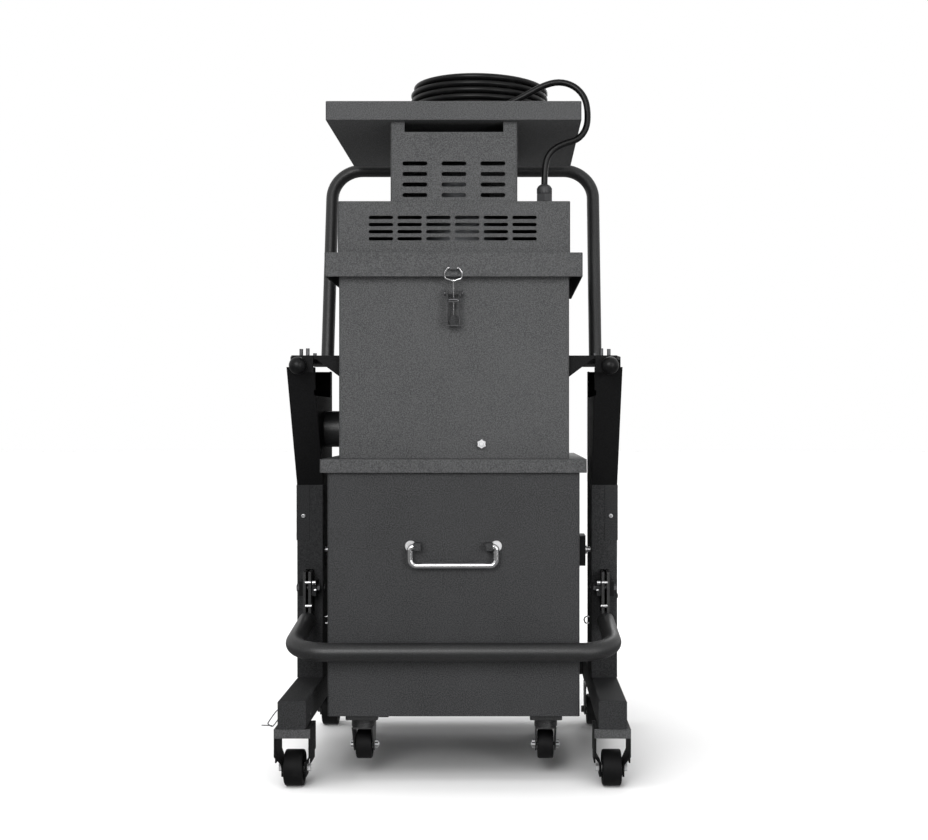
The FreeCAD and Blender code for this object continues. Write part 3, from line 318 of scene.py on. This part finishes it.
def turned(name, steps, place, axis, sides):
    """A turned form: a disc at the first (along, radius) step, extruded and scaled to each next one."""
    fresh()
    along, radius = steps[0]
    bpy.ops.mesh.primitive_circle_add(vertices=sides, radius=radius, fill_type="NGON", location=(0, 0, along))
    piece = bpy.context.object
    piece.name = name
    bpy.ops.object.mode_set(mode="EDIT")
    for next_along, next_radius in steps[1:]:
        bpy.ops.mesh.extrude_region_move(TRANSFORM_OT_translate={"value": (0, 0, next_along - along)})
        grow = next_radius / radius
        bpy.ops.transform.resize(value=(grow, grow, 1), center_override=(0, 0, next_along))
        along, radius = next_along, next_radius
    bpy.ops.object.mode_set(mode="OBJECT")
    return settle(piece, place, axis)


def plate(name, low, high, round_edges, segments=2):
    """A slab between two corners, with all its edges rounded."""
    fresh()
    low, high = Vector(low), Vector(high)
    bpy.ops.mesh.primitive_cube_add(size=1, location=(low + high) / 2)
    piece = bpy.context.object
    piece.name = name
    piece.scale = high - low
    bpy.ops.object.transform_apply(location=True, rotation=False, scale=True)
    bpy.ops.object.mode_set(mode="EDIT")
    bpy.ops.mesh.select_all(action="SELECT")
    bpy.ops.mesh.bevel(offset=round_edges, segments=segments, affect="EDGES")
    bpy.ops.object.mode_set(mode="OBJECT")
    even_shading(piece)
    return settle(piece)


def side_plate(name, sign, inner, outer, round_edges, segments=2):
    """A slab given for the right side, made on either side of the middle."""
    low_x, high_x = sorted((sign * inner[0], sign * outer[0]))
    return plate(name, (low_x, *inner[1:]), (high_x, *outer[1:]), round_edges, segments)


def round_curve(name, points, diameter, facets, closed=False):
    """A round wire or cable drawn along the points, as a curve."""
    curve = bpy.data.curves.new(name, "CURVE")
    curve.dimensions = "3D"
    line = curve.splines.new("NURBS")
    line.points.add(len(points) - 1)
    for control, point in zip(line.points, points):
        control.co = (*point, 1)
    line.order_u = 3
    line.use_endpoint_u = not closed
    line.use_cyclic_u = closed
    curve.bevel_depth = diameter / 2
    curve.bevel_resolution = facets
    curve.use_fill_caps = True
    piece = bpy.data.objects.new(name, curve)
    bpy.context.scene.collection.objects.link(piece)
    return piece


def bent_wire(name, points, diameter, closed=False):
    """A round wire drawn along the points and made a mesh."""
    only(round_curve(name, points, diameter, 4, closed))
    bpy.ops.object.convert(target="MESH")
    return settle(bpy.context.object)


def joined(name, pieces):
    only(pieces[0])
    for piece in pieces[1:]:
        piece.select_set(True)
    bpy.ops.object.join()
    pieces[0].name = name
    return pieces[0]


def hex_nut(name, place, axis, across, height, bore):
    """A chamfered hexagon nut with a thread end in it."""
    corner_radius = across / math.sqrt(3)
    chamfer = across * 0.06
    thread = bore / 2
    nut = turned(name, [(0, corner_radius), (height - chamfer, corner_radius),
                        (height, corner_radius - 1.4 * chamfer), (height, thread + chamfer / 2),
                        (height - chamfer, thread)], place, axis, 6)
    tip = height + 2.2 * MM
    stud = turned(name + "_stud", [(0, thread), (tip - MM, thread), (tip, thread - MM)], place, axis, 20)
    return joined(name, [nut, stud])


def socket_screw(name, place, axis, diameter, height):
    """A pan head with a rounded rim and a socket."""
    radius = diameter / 2
    return turned(name, [(-0.0003, radius), (height * 0.55, radius), (height * 0.85, radius * 0.88),
                         (height, radius * 0.66), (height, radius * 0.42), (height * 0.45, radius * 0.38)],
                  place, axis, 24)


# Sheet metal, tubes and plates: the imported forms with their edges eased

small_edge = 0.6 * MM
sheet_edge = 0.7 * MM
thick_edge = 0.8 * MM
beam_edge = 2.0 * MM
latch_edge = 0.4 * MM
plug_edge = 1.2 * MM
long_edge = 12.0 * MM
level_slack = 1e-5
rim_height = 2.5 * MM


def level_edges(edge, start, end):
    """Sharp edges that are long or run level."""
    long_enough = (end - start).length > long_edge
    return sharp(edge, start, end) and (long_enough or abs(start.z - end.z) < level_slack)


def no_vent_edges(node):
    """A test for the sharp edges at the node's top and bottom rims, which leaves its vents as they are."""
    low, high = corners(node)

    def test(edge, start, end):
        at_rim = all(min(abs(p.z - low.z), abs(p.z - high.z)) < rim_height for p in (start, end))
        return sharp(edge, start, end) and at_rim
    return test


def dress_packed_forms():
    for node in ("lower_housing", "upper_housing", "chamber", "lid_pan", "tray"):
        eased(node, charcoal, "charcoal_coat", sheet_edge, no_vent_edges(node))
    eased("collar", charcoal, "charcoal_coat", sheet_edge)
    eased("tray_base", charcoal, "charcoal_coat")
    eased("side_brackets", arm_coat, "charcoal_coat", small_edge)
    eased("bin", charcoal_deep, "bin_coat", sheet_edge)
    eased("bin_brackets", charcoal_deep, "bin_coat", small_edge)
    eased("foot_tubes", frame_coat, "black_coat")
    eased("foot_end_caps", frame_coat, "black_plastic", thick_edge)
    eased("rear_crossbeam", frame_coat, "black_coat", beam_edge)
    eased("front_castor_brackets", arm_coat, "charcoal_coat", thick_edge)
    for node in ("rear_castor_plates", "bin_castor_plates", "bin_rear_forks", "rear_fork_left",
                 "rear_fork_right", "bin_fork_left", "bin_fork_right"):
        eased(node, black_coat, "castor_steel", thick_edge)
    for side, _ in SIDES:
        eased("post_" + side, frame_coat, "black_coat")
        eased("arm_" + side, arm_coat, "black_coat", sheet_edge, level_edges)
    for node in ("push_handle", "foot_bar", "inlet_pipe"):
        eased(node, black_coat, "black_coat")
    eased("lift_pegs", zinc, "zinc_steel", small_edge)
    eased("bail_handle", chrome, "bright_steel")
    eased("latch_loop", chrome, "bright_steel")
    for node in ("latch_base", "latch_lever", "latch_hook"):
        eased(node, charcoal_deep if node == "latch_lever" else charcoal, "charcoal_coat", latch_edge)
    eased("front_axles", satin_zinc, "zinc_steel")
    eased("bolts", dark_steel, "zinc_steel")
    for node, material in (("filter_plate", charcoal), ("filter_cartridge", cloth),
                           ("lid_seal", seal_rubber), ("bin_seal", seal_rubber), ("motor_drum", motor_metal),
                           ("motor_body", motor_metal), ("rotor", motor_metal)):
        nodes[node].data.materials.clear()
        nodes[node].data.materials.append(material)


# Wheels

wheel_narrowing = 0.9
tyre_edge = 3.5 * MM
hub_dish = 6.0 * MM
rim_foot = 11.5 * MM
rim_lip = 8.5 * MM
rim_face = 7.5 * MM
shield_proud, shield_seat, shield_lip = 0.2 * MM, 2.0 * MM, 1.0 * MM
wheel_hubs = {"front_wheel_": 13.5 * MM, "rear_wheel_": 13.5 * MM,
              "bin_front_wheel_": 11.5 * MM, "bin_rear_wheel_": 11.5 * MM}


def wheel(node, hub_radius):
    """A solid rubber wheel with a dished face and a square tread."""
    low, high = corners(node)
    centre = (low + high) / 2
    half = wheel_narrowing * (high.x - low.x) / 2
    radius = (high.z - low.z) / 2
    side = [(half, hub_radius * 0.55), (half, hub_radius), (half - hub_dish, hub_radius + 2 * MM),
            (half - hub_dish, radius - rim_foot), (half - MM, radius - rim_lip), (half, radius - rim_face),
            (half, radius - tyre_edge), (half - 0.3 * tyre_edge, radius - 0.3 * tyre_edge),
            (half - tyre_edge, radius)]
    tyre = turned(node + "_tyre", [(-along, r) for along, r in side] + side[::-1], centre, X_AXIS, 72)
    return finish(tyre, wheel_rubber, node, "wheel_rubber", (node,))


def bearing(node, hub_radius):
    """A bright bearing shield in each face of the hub."""
    low, high = corners(node)
    centre = (low + high) / 2
    half = wheel_narrowing * (high.x - low.x) / 2
    outer, inner, lip = 0.8 * hub_radius, 0.62 * hub_radius, 0.58 * hub_radius
    shield = [(-shield_seat, outer), (shield_proud, outer), (shield_proud, inner), (-shield_lip, lip)]
    for mark, heading in (("inner", -1), ("outer", 1)):
        place = centre + X_AXIS * (heading * half)
        ring = turned(node + "_bearing_" + mark, shield, place, X_AXIS * heading, 32)
        finish(ring, zinc, node, "wheel_rubber")


def all_wheels():
    for side, _ in SIDES:
        for start, hub in wheel_hubs.items():
            wheel(start + side, hub)
            bearing(start + side, hub)


# Ball knobs

ball_rings = 14
ball_neck = 0.36
ball_shank = 6.0 * MM


def ball_knobs():
    for side, _ in SIDES:
        node = "ball_knob_" + side
        low, high = corners(node)
        radius = (high.x - low.x) / 2
        centre = Vector(((low.x + high.x) / 2, low.y + radius, (low.z + high.z) / 2))
        steps = []
        for ring in range(1, ball_rings - 1):
            turn = math.pi * ring / ball_rings
            steps.append((-radius * math.cos(turn), radius * math.sin(turn)))
        steps += [(radius * 0.93, radius * ball_neck), (radius, radius * ball_neck), (radius, ball_shank),
                  (high.y - centre.y, ball_shank)]
        ball = turned(node + "_ball", steps, centre, Y_AXIS, 40)
        finish(ball, ball_plastic, node, "gloss_ball", (node,))


# Fasteners and fittings

def round_pin(name, start, end, diameter, material, body, slot):
    """A round bar between two points, with its rims eased."""
    start, end = Vector(start), Vector(end)
    length = (end - start).length
    radius = diameter / 2
    rim = min(0.12 * diameter, 0.2 * length)
    bar = turned(name, [(0, radius - rim), (rim, radius), (length - rim, radius), (length, radius - rim)],
                 start, end - start, 28)
    return finish(bar, material, body, slot)


def dome_bolt(name, place, axis, diameter):
    radius = diameter / 2
    dome = turned(name, [(-0.0006, radius), (0.001, radius), (0.0026, radius * 0.86), (0.0038, radius * 0.6),
                         (0.0044, radius * 0.25)], place, axis, 28)
    return finish(dome, dark_steel, "frame", "zinc_steel")


trim_edge = 0.4 * MM
post_low, post_high = corners("post_right")
post_front = -62.5 * MM
post_back = 63.5 * MM
fold_sheet = 1.1 * MM
fold_lap = 0.6 * MM
fold_inner = 339.0 * MM
fold_bottom = 504.0 * MM
fold_top = post_high.z - 0.2 * MM
post_screw = (0.353, post_front - fold_sheet, 0.560)
screw_head, screw_height = 9.8 * MM, 4.6 * MM
bolt_seat = 0.1 * MM
outer_bolt = (post_high.x + bolt_seat, -0.030, 0.372)
inner_bolt = (post_low.x - bolt_seat, -0.040, 0.392)
bolt_head = 14.0 * MM
eye_x, eye_y, eye_z = 0.3, -0.05, 0.319
eye_half_width, eye_half_height = 7.5 * MM, 8.5 * MM
eye_wire = 3.4 * MM
eye_turns = [math.radians(-130 + 26 * step) for step in range(11)]
lever_pin_y = -109.5 * MM
# Mark, inner end, outer end, height and diameter of each pin
lever_pins = (("upper", 0.3175, 0.3265, 0.412, 0.009), ("top", 0.3285, 0.3425, 0.412, 0.008),
              ("middle", 0.3165, 0.3225, 0.395, 0.006), ("lower", 0.3265, 0.3425, 0.359, 0.008))


def post_fittings(side, sign):
    """Screws, bolts and an eye on the post, and pins across the foot bar's lever plates."""
    screw = socket_screw("post_screw_" + side, mirrored(sign, post_screw), -Y_AXIS, screw_head, screw_height)
    finish(screw, satin_zinc, "frame", "zinc_steel")
    dome_bolt("post_bolt_outer_" + side, mirrored(sign, outer_bolt), X_AXIS * sign, bolt_head)
    dome_bolt("post_bolt_inner_" + side, mirrored(sign, inner_bolt), -X_AXIS * sign, bolt_head)
    eye = []
    for turn in eye_turns:
        x = eye_x - eye_half_width * math.cos(turn)
        eye.append((sign * x, eye_y, eye_z + eye_half_height * math.sin(turn)))
    finish(bent_wire("post_eye_" + side, eye, eye_wire), zinc, "frame", "zinc_steel")
    for mark, inner, outer, z, diameter in lever_pins:
        round_pin(f"lever_pin_{mark}_{side}", (sign * inner, lever_pin_y, z), (sign * outer, lever_pin_y, z),
                  diameter, zinc, "foot_bar", "zinc_steel")


def post_fold(side, sign):
    """A folded sheet round the post's outer front corner, below the arm."""
    rim = post_high.x + fold_sheet
    face = side_plate("post_fold_" + side, sign, (fold_inner, post_front - fold_sheet, fold_bottom),
                      (rim, post_front + trim_edge, fold_top), trim_edge)
    cheek = side_plate("post_fold_cheek_" + side, sign,
                       (post_high.x - trim_edge, post_front - fold_lap, fold_bottom),
                       (rim, post_back, fold_top), trim_edge)
    finish(joined("post_fold_" + side, [face, cheek]), frame_coat, "frame", "black_coat")


blind_half = 0.7 * MM
blind_inner, blind_outer = 347.8 * MM, 357.0 * MM
blind_bottom, blind_top = 381.0 * MM, 414.0 * MM
blind_edge = 0.3 * MM


def slot_blind(side, sign):
    """A black rubber blind on the front of the pivot lug, beside the foot bar's lever."""
    lug_front = post_low.y
    blind = side_plate("slot_blind_" + side, sign, (blind_inner, lug_front - blind_half, blind_bottom),
                       (blind_outer, lug_front + blind_half, blind_top), blind_edge)
    finish(blind, wheel_rubber, "frame", "wheel_rubber")


brackets_low, brackets_high = corners("front_castor_brackets")
bracket_middle = (post_low.x + post_high.x) / 2
bracket_half = brackets_high.x - bracket_middle
lip_proud, lip_depth = 0.5 * MM, 1.0 * MM
lip_bottom = 108.7 * MM
lip_top = brackets_high.z + 0.3 * MM
castor_bolt = 10.5 * MM
castor_bolt_spread = 13.7 * MM
castor_bolt_y = -304.0 * MM
castor_bolt_top, castor_bolt_end = 124.8 * MM, 106.2 * MM
skirt_sheet = 3.1 * MM
skirt_front, skirt_back = -304.5 * MM, -250.5 * MM
skirt_bottom, skirt_top = 53.0 * MM, 71.2 * MM


def castor_bracket_details(side, sign):
    """A painted highlight in the lighter charcoal over the front face of the bracket's lip, the bolt ends
    behind it, and the straight outer skirts.
    """
    middle = sign * bracket_middle
    front = brackets_low.y
    # Painted highlight: a thin lighter plate over the lip's front face, where the front light falls on the
    # black bracket.
    lip = plate("castor_lip_highlight_" + side, (middle - bracket_half, front - lip_proud, lip_bottom),
                (middle + bracket_half, front + lip_depth, lip_top), trim_edge)
    finish(lip, charcoal, "frame", "charcoal_coat")
    for mark, heading in (("low", -1), ("high", 1)):
        x = middle + heading * castor_bolt_spread
        round_pin(f"castor_bolt_{side}_{mark}", (x, castor_bolt_y, castor_bolt_top),
                  (x, castor_bolt_y, castor_bolt_end), castor_bolt, dark_steel, "frame", "zinc_steel")
        rim = middle + heading * bracket_half
        inner, outer = sorted((rim - heading * skirt_sheet, rim))
        skirt = plate(f"castor_skirt_{side}_{mark}", (inner, skirt_front, skirt_bottom),
                      (outer, skirt_back, skirt_top), small_edge)
        finish(skirt, arm_coat, "frame", "charcoal_coat")


bin_axle_y = -178.5 * MM
bin_axle_z = 64.5 * MM
axle_nut_inset = 8.0 * MM
axle_nut_across, axle_nut_height, axle_nut_bore = 15.5 * MM, 8.2 * MM, 8.0 * MM


def castor_nuts(side):
    """Bright lock nuts on the two ends of a bin castor's axle."""
    node = "bin_fork_" + side
    low, high = corners(node)
    for mark, end, heading in (("low", low.x, -1), ("high", high.x, 1)):
        place = (end - heading * axle_nut_inset, bin_axle_y, bin_axle_z)
        nut = hex_nut(f"{node}_nut_{side}_{mark}", place, X_AXIS * heading,
                      axle_nut_across, axle_nut_height, axle_nut_bore)
        finish(nut, satin_zinc, node, "zinc_steel")


latch_pivot_inset = 5.0 * MM
pin_head = 10.5 * MM
pin_head_inner, pin_head_outer = 17.2 * MM, 20.2 * MM
cross_pin = 6.6 * MM
cross_pin_half = 10.6 * MM
cross_pin_depth = 3.5 * MM
cross_pin_lift = 31.5 * MM
# Corners of the painted highlights along the lever's folded edges, from the lever's lower front corners
side_highlight_low, side_highlight_high = Vector((-0.0011, 0.0006, -0.0003)), Vector((0.0004, 0.0030, 0.020))
lip_highlight_low, lip_highlight_high = Vector((-0.0002, -0.0003, -0.0004)), Vector((0.0002, 0.0022, 0.0012))


def latch_details():
    """Dark pin heads and cross pin, and painted highlights in a lighter charcoal along the folded edges of
    the lever's lip.
    """
    low, high = corners("latch_lever")
    pivot_y = high.y - latch_pivot_inset
    pivot_z = high.z - latch_pivot_inset
    for side, sign in SIDES:
        round_pin("latch_pin_head_" + side, (sign * pin_head_inner, pivot_y, pivot_z),
                  (sign * pin_head_outer, pivot_y, pivot_z), pin_head, dark_steel, "frame", "zinc_steel")
        corner = Vector((sign * high.x, low.y, low.z))
        # Painted highlight: a strip of the lighter charcoal along the lever's side edge.
        edge = plate("lever_edge_highlight_" + side, corner + side_highlight_low, corner + side_highlight_high, trim_edge)
        finish(edge, charcoal, "latch_lever", "charcoal_coat")
    right_corner = Vector((high.x, low.y, low.z))
    # Painted highlight: a strip of the lighter charcoal along the lip's lower edge.
    tip = plate("lever_lip_highlight", low + lip_highlight_low, right_corner + lip_highlight_high, trim_edge)
    finish(tip, charcoal, "latch_lever", "charcoal_coat")
    loop_low, _ = corners("latch_loop")
    pin_y = loop_low.y + cross_pin_depth
    pin_z = loop_low.z + cross_pin_lift
    round_pin("latch_cross_pin", (-cross_pin_half, pin_y, pin_z), (cross_pin_half, pin_y, pin_z), cross_pin,
              dark_steel, "latch_loop", "bright_steel")


bail_spread = 92.0 * MM
bail_disc = [(-0.0004, 0.012), (0.0022, 0.012), (0.003, 0.0112)]
bail_lug_inner, bail_lug_outer = 68.5 * MM, 85.3 * MM
bail_lug_half = 8.8 * MM
bail_lug_sink = 0.4 * MM
bail_lug_edge = 2.2 * MM


def bail_mounts():
    """Bright discs on the bin's front, and painted lugs that take the ends of the bail."""
    low, high = corners("bail_sockets")
    front = high.y
    centre_z = (low.z + high.z) / 2
    discs, lugs = [], []
    for side, sign in SIDES:
        place = (sign * bail_spread, front, centre_z)
        discs.append(turned("bail_disc_" + side, bail_disc, place, -Y_AXIS, 48))
        lugs.append(side_plate("bail_lug_" + side, sign, (bail_lug_inner, low.y, centre_z - bail_lug_half),
                               (bail_lug_outer, front + bail_lug_sink, centre_z + bail_lug_half),
                               bail_lug_edge, 3))
    finish(joined("bail_discs", discs), satin_zinc, "bin", "zinc_steel", ("bail_sockets",))
    finish(joined("bail_lugs", lugs), charcoal_deep, "bin", "bin_coat")


lock_pin_y = -261.5 * MM
lock_pin_z = 148.5 * MM
lock_pin_end = -373.5 * MM
lock_pin_steps = [(0, 0.0044), (0.001, 0.0054), (0.005, 0.0054), (0.005, 0.004), (0.067, 0.004)]
clip_wire = 2.4 * MM


def lock_pin():
    """The pin through the foot tube, with its wire clip and tail."""
    clip_y = lock_pin_y - 3.0 * MM
    bend_y = lock_pin_y - 3.5 * MM
    tail_y = lock_pin_y - 4.5 * MM
    rod = turned("lock_pin_rod", lock_pin_steps, (lock_pin_end, lock_pin_y, lock_pin_z), X_AXIS, 28)
    clip = [(-0.3722, lock_pin_y, lock_pin_z), (-0.3772, lock_pin_y, 0.1562), (-0.3800, lock_pin_y, 0.1560),
            (-0.3985, clip_y, 0.1300), (-0.3985, clip_y, 0.1268), (-0.3905, clip_y, 0.1215),
            (-0.3870, clip_y, 0.1225), (-0.3745, lock_pin_y, 0.1395)]
    loop = bent_wire("lock_pin_clip", clip, clip_wire, True)
    straight = [(-0.3890, bend_y, 0.1235), (-0.3960, tail_y, 0.1246), (-0.4120, tail_y, 0.1249)]
    tail = bent_wire("lock_pin_tail", straight, clip_wire)
    finish(joined("lock_pin_clip", [rod, loop, tail]), dark_steel, "lock_pin", "zinc_steel", ("lock_pin",))


bin_plate_inner = 271.6 * MM
bin_plate_inset = 0.6 * MM
bin_plate_margin = 2.0 * MM
bin_plate_proud, bin_plate_depth = 0.8 * MM, 2.2 * MM


def bin_bracket_fronts(side, sign):
    """A black plate that closes the front of the bracket on the bin's side, round the lift peg."""
    low, high = corners("bin_brackets")
    inner = (bin_plate_inner, low.y - bin_plate_proud, low.z + bin_plate_margin)
    outer = (high.x - bin_plate_inset, low.y + bin_plate_depth, high.z - bin_plate_margin)
    front = side_plate("bin_bracket_front_" + side, sign, inner, outer, small_edge)
    finish(front, arm_coat, "bin", "bin_coat")


chamber_nut_x, chamber_nut_z = 60.0 * MM, 728.0 * MM
chamber_nut_across, chamber_nut_height, chamber_nut_bore = 17.8 * MM, 10.4 * MM, 10.0 * MM


def chamber_nut():
    """The bright nut low on the chamber's front."""
    low, _ = corners("chamber")
    place = (chamber_nut_x, low.y - bolt_seat, chamber_nut_z)
    nut = hex_nut("chamber_nut", place, -Y_AXIS, chamber_nut_across, chamber_nut_height, chamber_nut_bore)
    finish(nut, satin_zinc, "frame", "zinc_steel")


def fittings():
    latch_details()
    bail_mounts()
    lock_pin()
    for side, sign in SIDES:
        post_fittings(side, sign)
        post_fold(side, sign)
        slot_blind(side, sign)
        castor_bracket_details(side, sign)
        bin_bracket_fronts(side, sign)
        castor_nuts(side)
    chamber_nut()


# Cable gland

rib_bottom, rib_top = 22.5 * MM, 34.0 * MM
rib_height = 0.9 * MM
rib_pitch_degrees = 20
rib_width_degrees = 10


def cable_gland():
    """A hexagon body on a short neck, under a ribbed cap nut."""
    low, high = corners("gland")
    foot = Vector(((low.x + high.x) / 2, (low.y + high.y) / 2, low.z))
    neck = turned("gland_neck", [(0, 0.0125), (0.0034, 0.0125)], foot, Z_AXIS, 28)
    body = turned("gland_body", [(0.003, 0.0165), (0.0044, 0.0188), (0.0205, 0.0188), (0.022, 0.0172)],
                  foot, Z_AXIS, 6)
    cap = turned("gland_cap", [(0.0215, 0.0152), (rib_bottom, 0.0158), (rib_top, 0.0158), (0.0368, 0.0150),
                               (0.0395, 0.0126), (0.0412, 0.0102), (0.042, 0.0088)], foot, Z_AXIS, 36)
    bpy.ops.object.mode_set(mode="EDIT")
    shape = bmesh.from_edit_mesh(cap.data)
    for face in shape.faces:
        middle = face.calc_center_median() - foot
        turn = math.degrees(math.atan2(middle.y, middle.x)) % rib_pitch_degrees
        face.select_set(rib_bottom < middle.z < rib_top and turn < rib_width_degrees)
    bmesh.update_edit_mesh(cap.data)
    bpy.ops.mesh.extrude_region_shrink_fatten(TRANSFORM_OT_shrink_fatten={"value": rib_height})
    bpy.ops.object.mode_set(mode="OBJECT")
    gland = joined("cable_gland", [body, neck, cap])
    finish(settle(gland), gland_plastic, "frame", "black_plastic", ("gland",))


# Mains cord: from the gland over the tray's edge, round the coil and in to the plug

cord_diameter = 14 * MM
# The route's sizes and places are in millimetres, and stretches of the coil are in turns
gland_y = -201.5
coil_centre = Vector((50.0, 0.5, 1473.7))
coil_radius = 156.0
coil_pitch = 14.7
coil_turns = 5.25
coil_run_in = 0.25
coil_crossing = 0.5
coil_tail = 0.75
last_turn = 2 * coil_turns + coil_tail
tuck_start = 2 * coil_turns - coil_run_in
plug_radius = 62.0
plug_lift = 15.0
points_per_turn = 16
lead_run_in = 30.0
straight_end = 14.0


def smooth_step(value):
    value = min(max(value, 0.0), 1.0)
    return value * value * (3 - 2 * value)


def coil_point(turn):
    radius = coil_radius + coil_pitch * (1 - smooth_step(turn / coil_run_in))
    radius -= coil_pitch * smooth_step((turn - coil_turns + coil_run_in) / coil_crossing)
    tuck = smooth_step((turn - tuck_start) / (last_turn - tuck_start))
    radius += (plug_radius - radius) * tuck
    level = turn if turn < coil_turns else max(2 * coil_turns - turn, 0.0)
    angle = -math.pi / 2 - 2 * math.pi * turn
    return coil_centre + Vector((radius * math.cos(angle), radius * math.sin(angle),
                                 coil_pitch * level + plug_lift * tuck))


def coil_heading(turn):
    step = 0.02
    return (coil_point(turn + step) - coil_point(turn - step)).normalized()


def cord_route():
    mouth = coil_point(0.0) - coil_heading(0.0) * straight_end
    lead = [(197, gland_y, 1296), (197, gland_y, 1332), (206, gland_y, 1366), (236, gland_y, 1386),
            (270, gland_y, 1394), (290, gland_y + 1, 1419), (293, gland_y + 3, 1454),
            (287, gland_y + 7, 1490), (263, gland_y + 11, 1517), (228, gland_y + 15, 1527),
            (193, gland_y + 19, 1518), (160, gland_y + 23, 1500), (126, gland_y + 27, 1484),
            mouth - coil_heading(0.0) * lead_run_in, mouth]
    count = int(last_turn * points_per_turn)
    coil = [coil_point(index / points_per_turn) for index in range(count + 1)]
    end = coil_point(last_turn) + coil_heading(last_turn) * straight_end
    return [Vector(point) * MM for point in lead + coil + [end]]


def mains_cord():
    route = cord_route()
    cord = round_curve("mains_cord", route, cord_diameter, 5)
    cord.data.splines[0].resolution_u = 4
    finish(cord, cord_rubber, "frame", "cord_rubber", ("cord_lead", "cord_coil"))
    plug = eased("plug", black_plastic, "black_plastic", plug_edge)


# Stage, light and camera

floor_size = 60
floor_lamp_power = 3.7
floor_lamp_tilt = math.radians(12)
floor_lamp_spread = math.radians(75)
floor_mirrored = 0.2
floor_bounce = 0.34
under_fill_power = 0.22
under_fill_turn = math.radians(165)
under_fill_spread = math.radians(110)
world_light = 0.083
world_mirrored = 0.7
# Name, place, target, size and power of each soft box
soft_boxes = (("front_key", (-1.0, -4.6, 2.4), (0, 0, 0.9), (2.2, 2.2), 91),
              ("front_fill", (2.6, -4.2, 1.3), (0, 0, 0.8), (1.8, 2.2), 35),
              ("back_rim", (0.6, 3.6, 2.6), (0, 0, 1.0), (2.4, 1.6), 24))
camera_place = (0.1215, -3.1435, 0.780)
camera_lens = 52.0
camera_sensor = 36.0
picture_width = 928
picture_shift = -46


def pale_stage():
    """A white paper floor with a lamp of its own, so that it stays white up to the machine's shadow."""
    fresh()
    bpy.ops.mesh.primitive_plane_add(size=floor_size, location=(0, 0, 0))
    floor = bpy.context.object
    floor.name = "studio_floor"
    paper = Finish("pale_paper")
    paper.set(Base_Color=(0.86, 0.86, 0.86, 1), Roughness=0.9, Specular_IOR_Level=0.0)
    shown = Value(paper, paper.shader.outputs[0])
    for ray, strength in (("Is Glossy Ray", floor_mirrored), ("Is Diffuse Ray", floor_bounce)):
        reflected = paper.node("ShaderNodeLightPath", {}, {}, ray)
        glow = paper.node("ShaderNodeEmission", {}, {"Strength": strength})
        shown = paper.node("ShaderNodeMixShader", {}, {0: reflected, 1: shown, 2: glow})
    paper.feed(paper.tree.nodes["Material Output"].inputs[0], shown)
    floor.data.materials.append(paper.material)
    only_floor = bpy.data.collections.new("lit_by_floor_lamp")
    only_floor.objects.link(floor)
    turn = (floor_lamp_tilt, -floor_lamp_tilt, 0)
    bpy.ops.object.light_add(type="SUN", location=(-1, -2, 5), rotation=turn)
    lamp = bpy.context.object
    lamp.name = "floor_lamp"
    lamp.data.energy = floor_lamp_power
    lamp.data.angle = floor_lamp_spread
    lamp.light_linking.receiver_collection = only_floor


def soft_world(diffuse, glossy):
    """White behind the machine, and dimmer in what lights it and what it mirrors."""
    world = bpy.data.worlds.new("white_studio")
    bpy.context.scene.world = world
    world.use_nodes = True
    tree = world.node_tree
    path = tree.nodes.new("ShaderNodeLightPath")
    level = None
    for ray, strength in (("Is Glossy Ray", glossy), ("Is Camera Ray", 1.0), ("Is Transmission Ray", 1.0)):
        choice = tree.nodes.new("ShaderNodeMix")
        tree.links.new(path.outputs[ray], choice.inputs[0])
        if level:
            tree.links.new(level, choice.inputs[2])
        else:
            choice.inputs[2].default_value = diffuse
        choice.inputs[3].default_value = strength
        level = choice.outputs[0]
    back = tree.nodes["Background"]
    back.inputs["Color"].default_value = (1, 1, 1, 1)
    tree.links.new(level, back.inputs["Strength"])


def soft_box(name, place, target, size, power):
    fresh()
    bpy.ops.object.light_add(type="AREA", location=place)
    lamp = bpy.context.object
    lamp.name = name
    lamp.data.shape = "RECTANGLE"
    lamp.data.size, lamp.data.size_y = size
    lamp.data.energy = power
    lamp.rotation_euler = (Vector(target) - Vector(place)).to_track_quat("-Z", "Y").to_euler()


def under_fill(power):
    """Soft light from the pale floor on the machine's undersides."""
    machine = bpy.data.collections.new("lit_from_below")
    for thing in bpy.context.scene.objects:
        if thing.type in ("MESH", "CURVE") and thing.name != "studio_floor":
            machine.objects.link(thing)
    fresh()
    bpy.ops.object.light_add(type="SUN", location=(0, -1, 0.2), rotation=(under_fill_turn, 0, 0))
    lamp = bpy.context.object
    lamp.name = "under_fill"
    lamp.data.energy = power
    lamp.data.angle = under_fill_spread
    lamp.light_linking.receiver_collection = machine
    lamp.light_linking.blocker_collection = machine


def light_and_camera():
    under_fill(under_fill_power)
    soft_world(world_light, world_mirrored)
    for lamp in soft_boxes:
        soft_box(*lamp)
    fresh()
    bpy.ops.object.camera_add(location=camera_place, rotation=(math.pi / 2, 0, 0))
    camera = bpy.context.object
    camera.data.lens = camera_lens
    camera.data.sensor_width = camera_sensor
    camera.data.shift_x = picture_shift / picture_width
    bpy.context.scene.camera = camera
    bpy.context.scene.view_settings.view_transform = "Standard"


dress_packed_forms()
all_wheels()
ball_knobs()
fittings()
cable_gland()
mains_cord()
pale_stage()
light_and_camera()
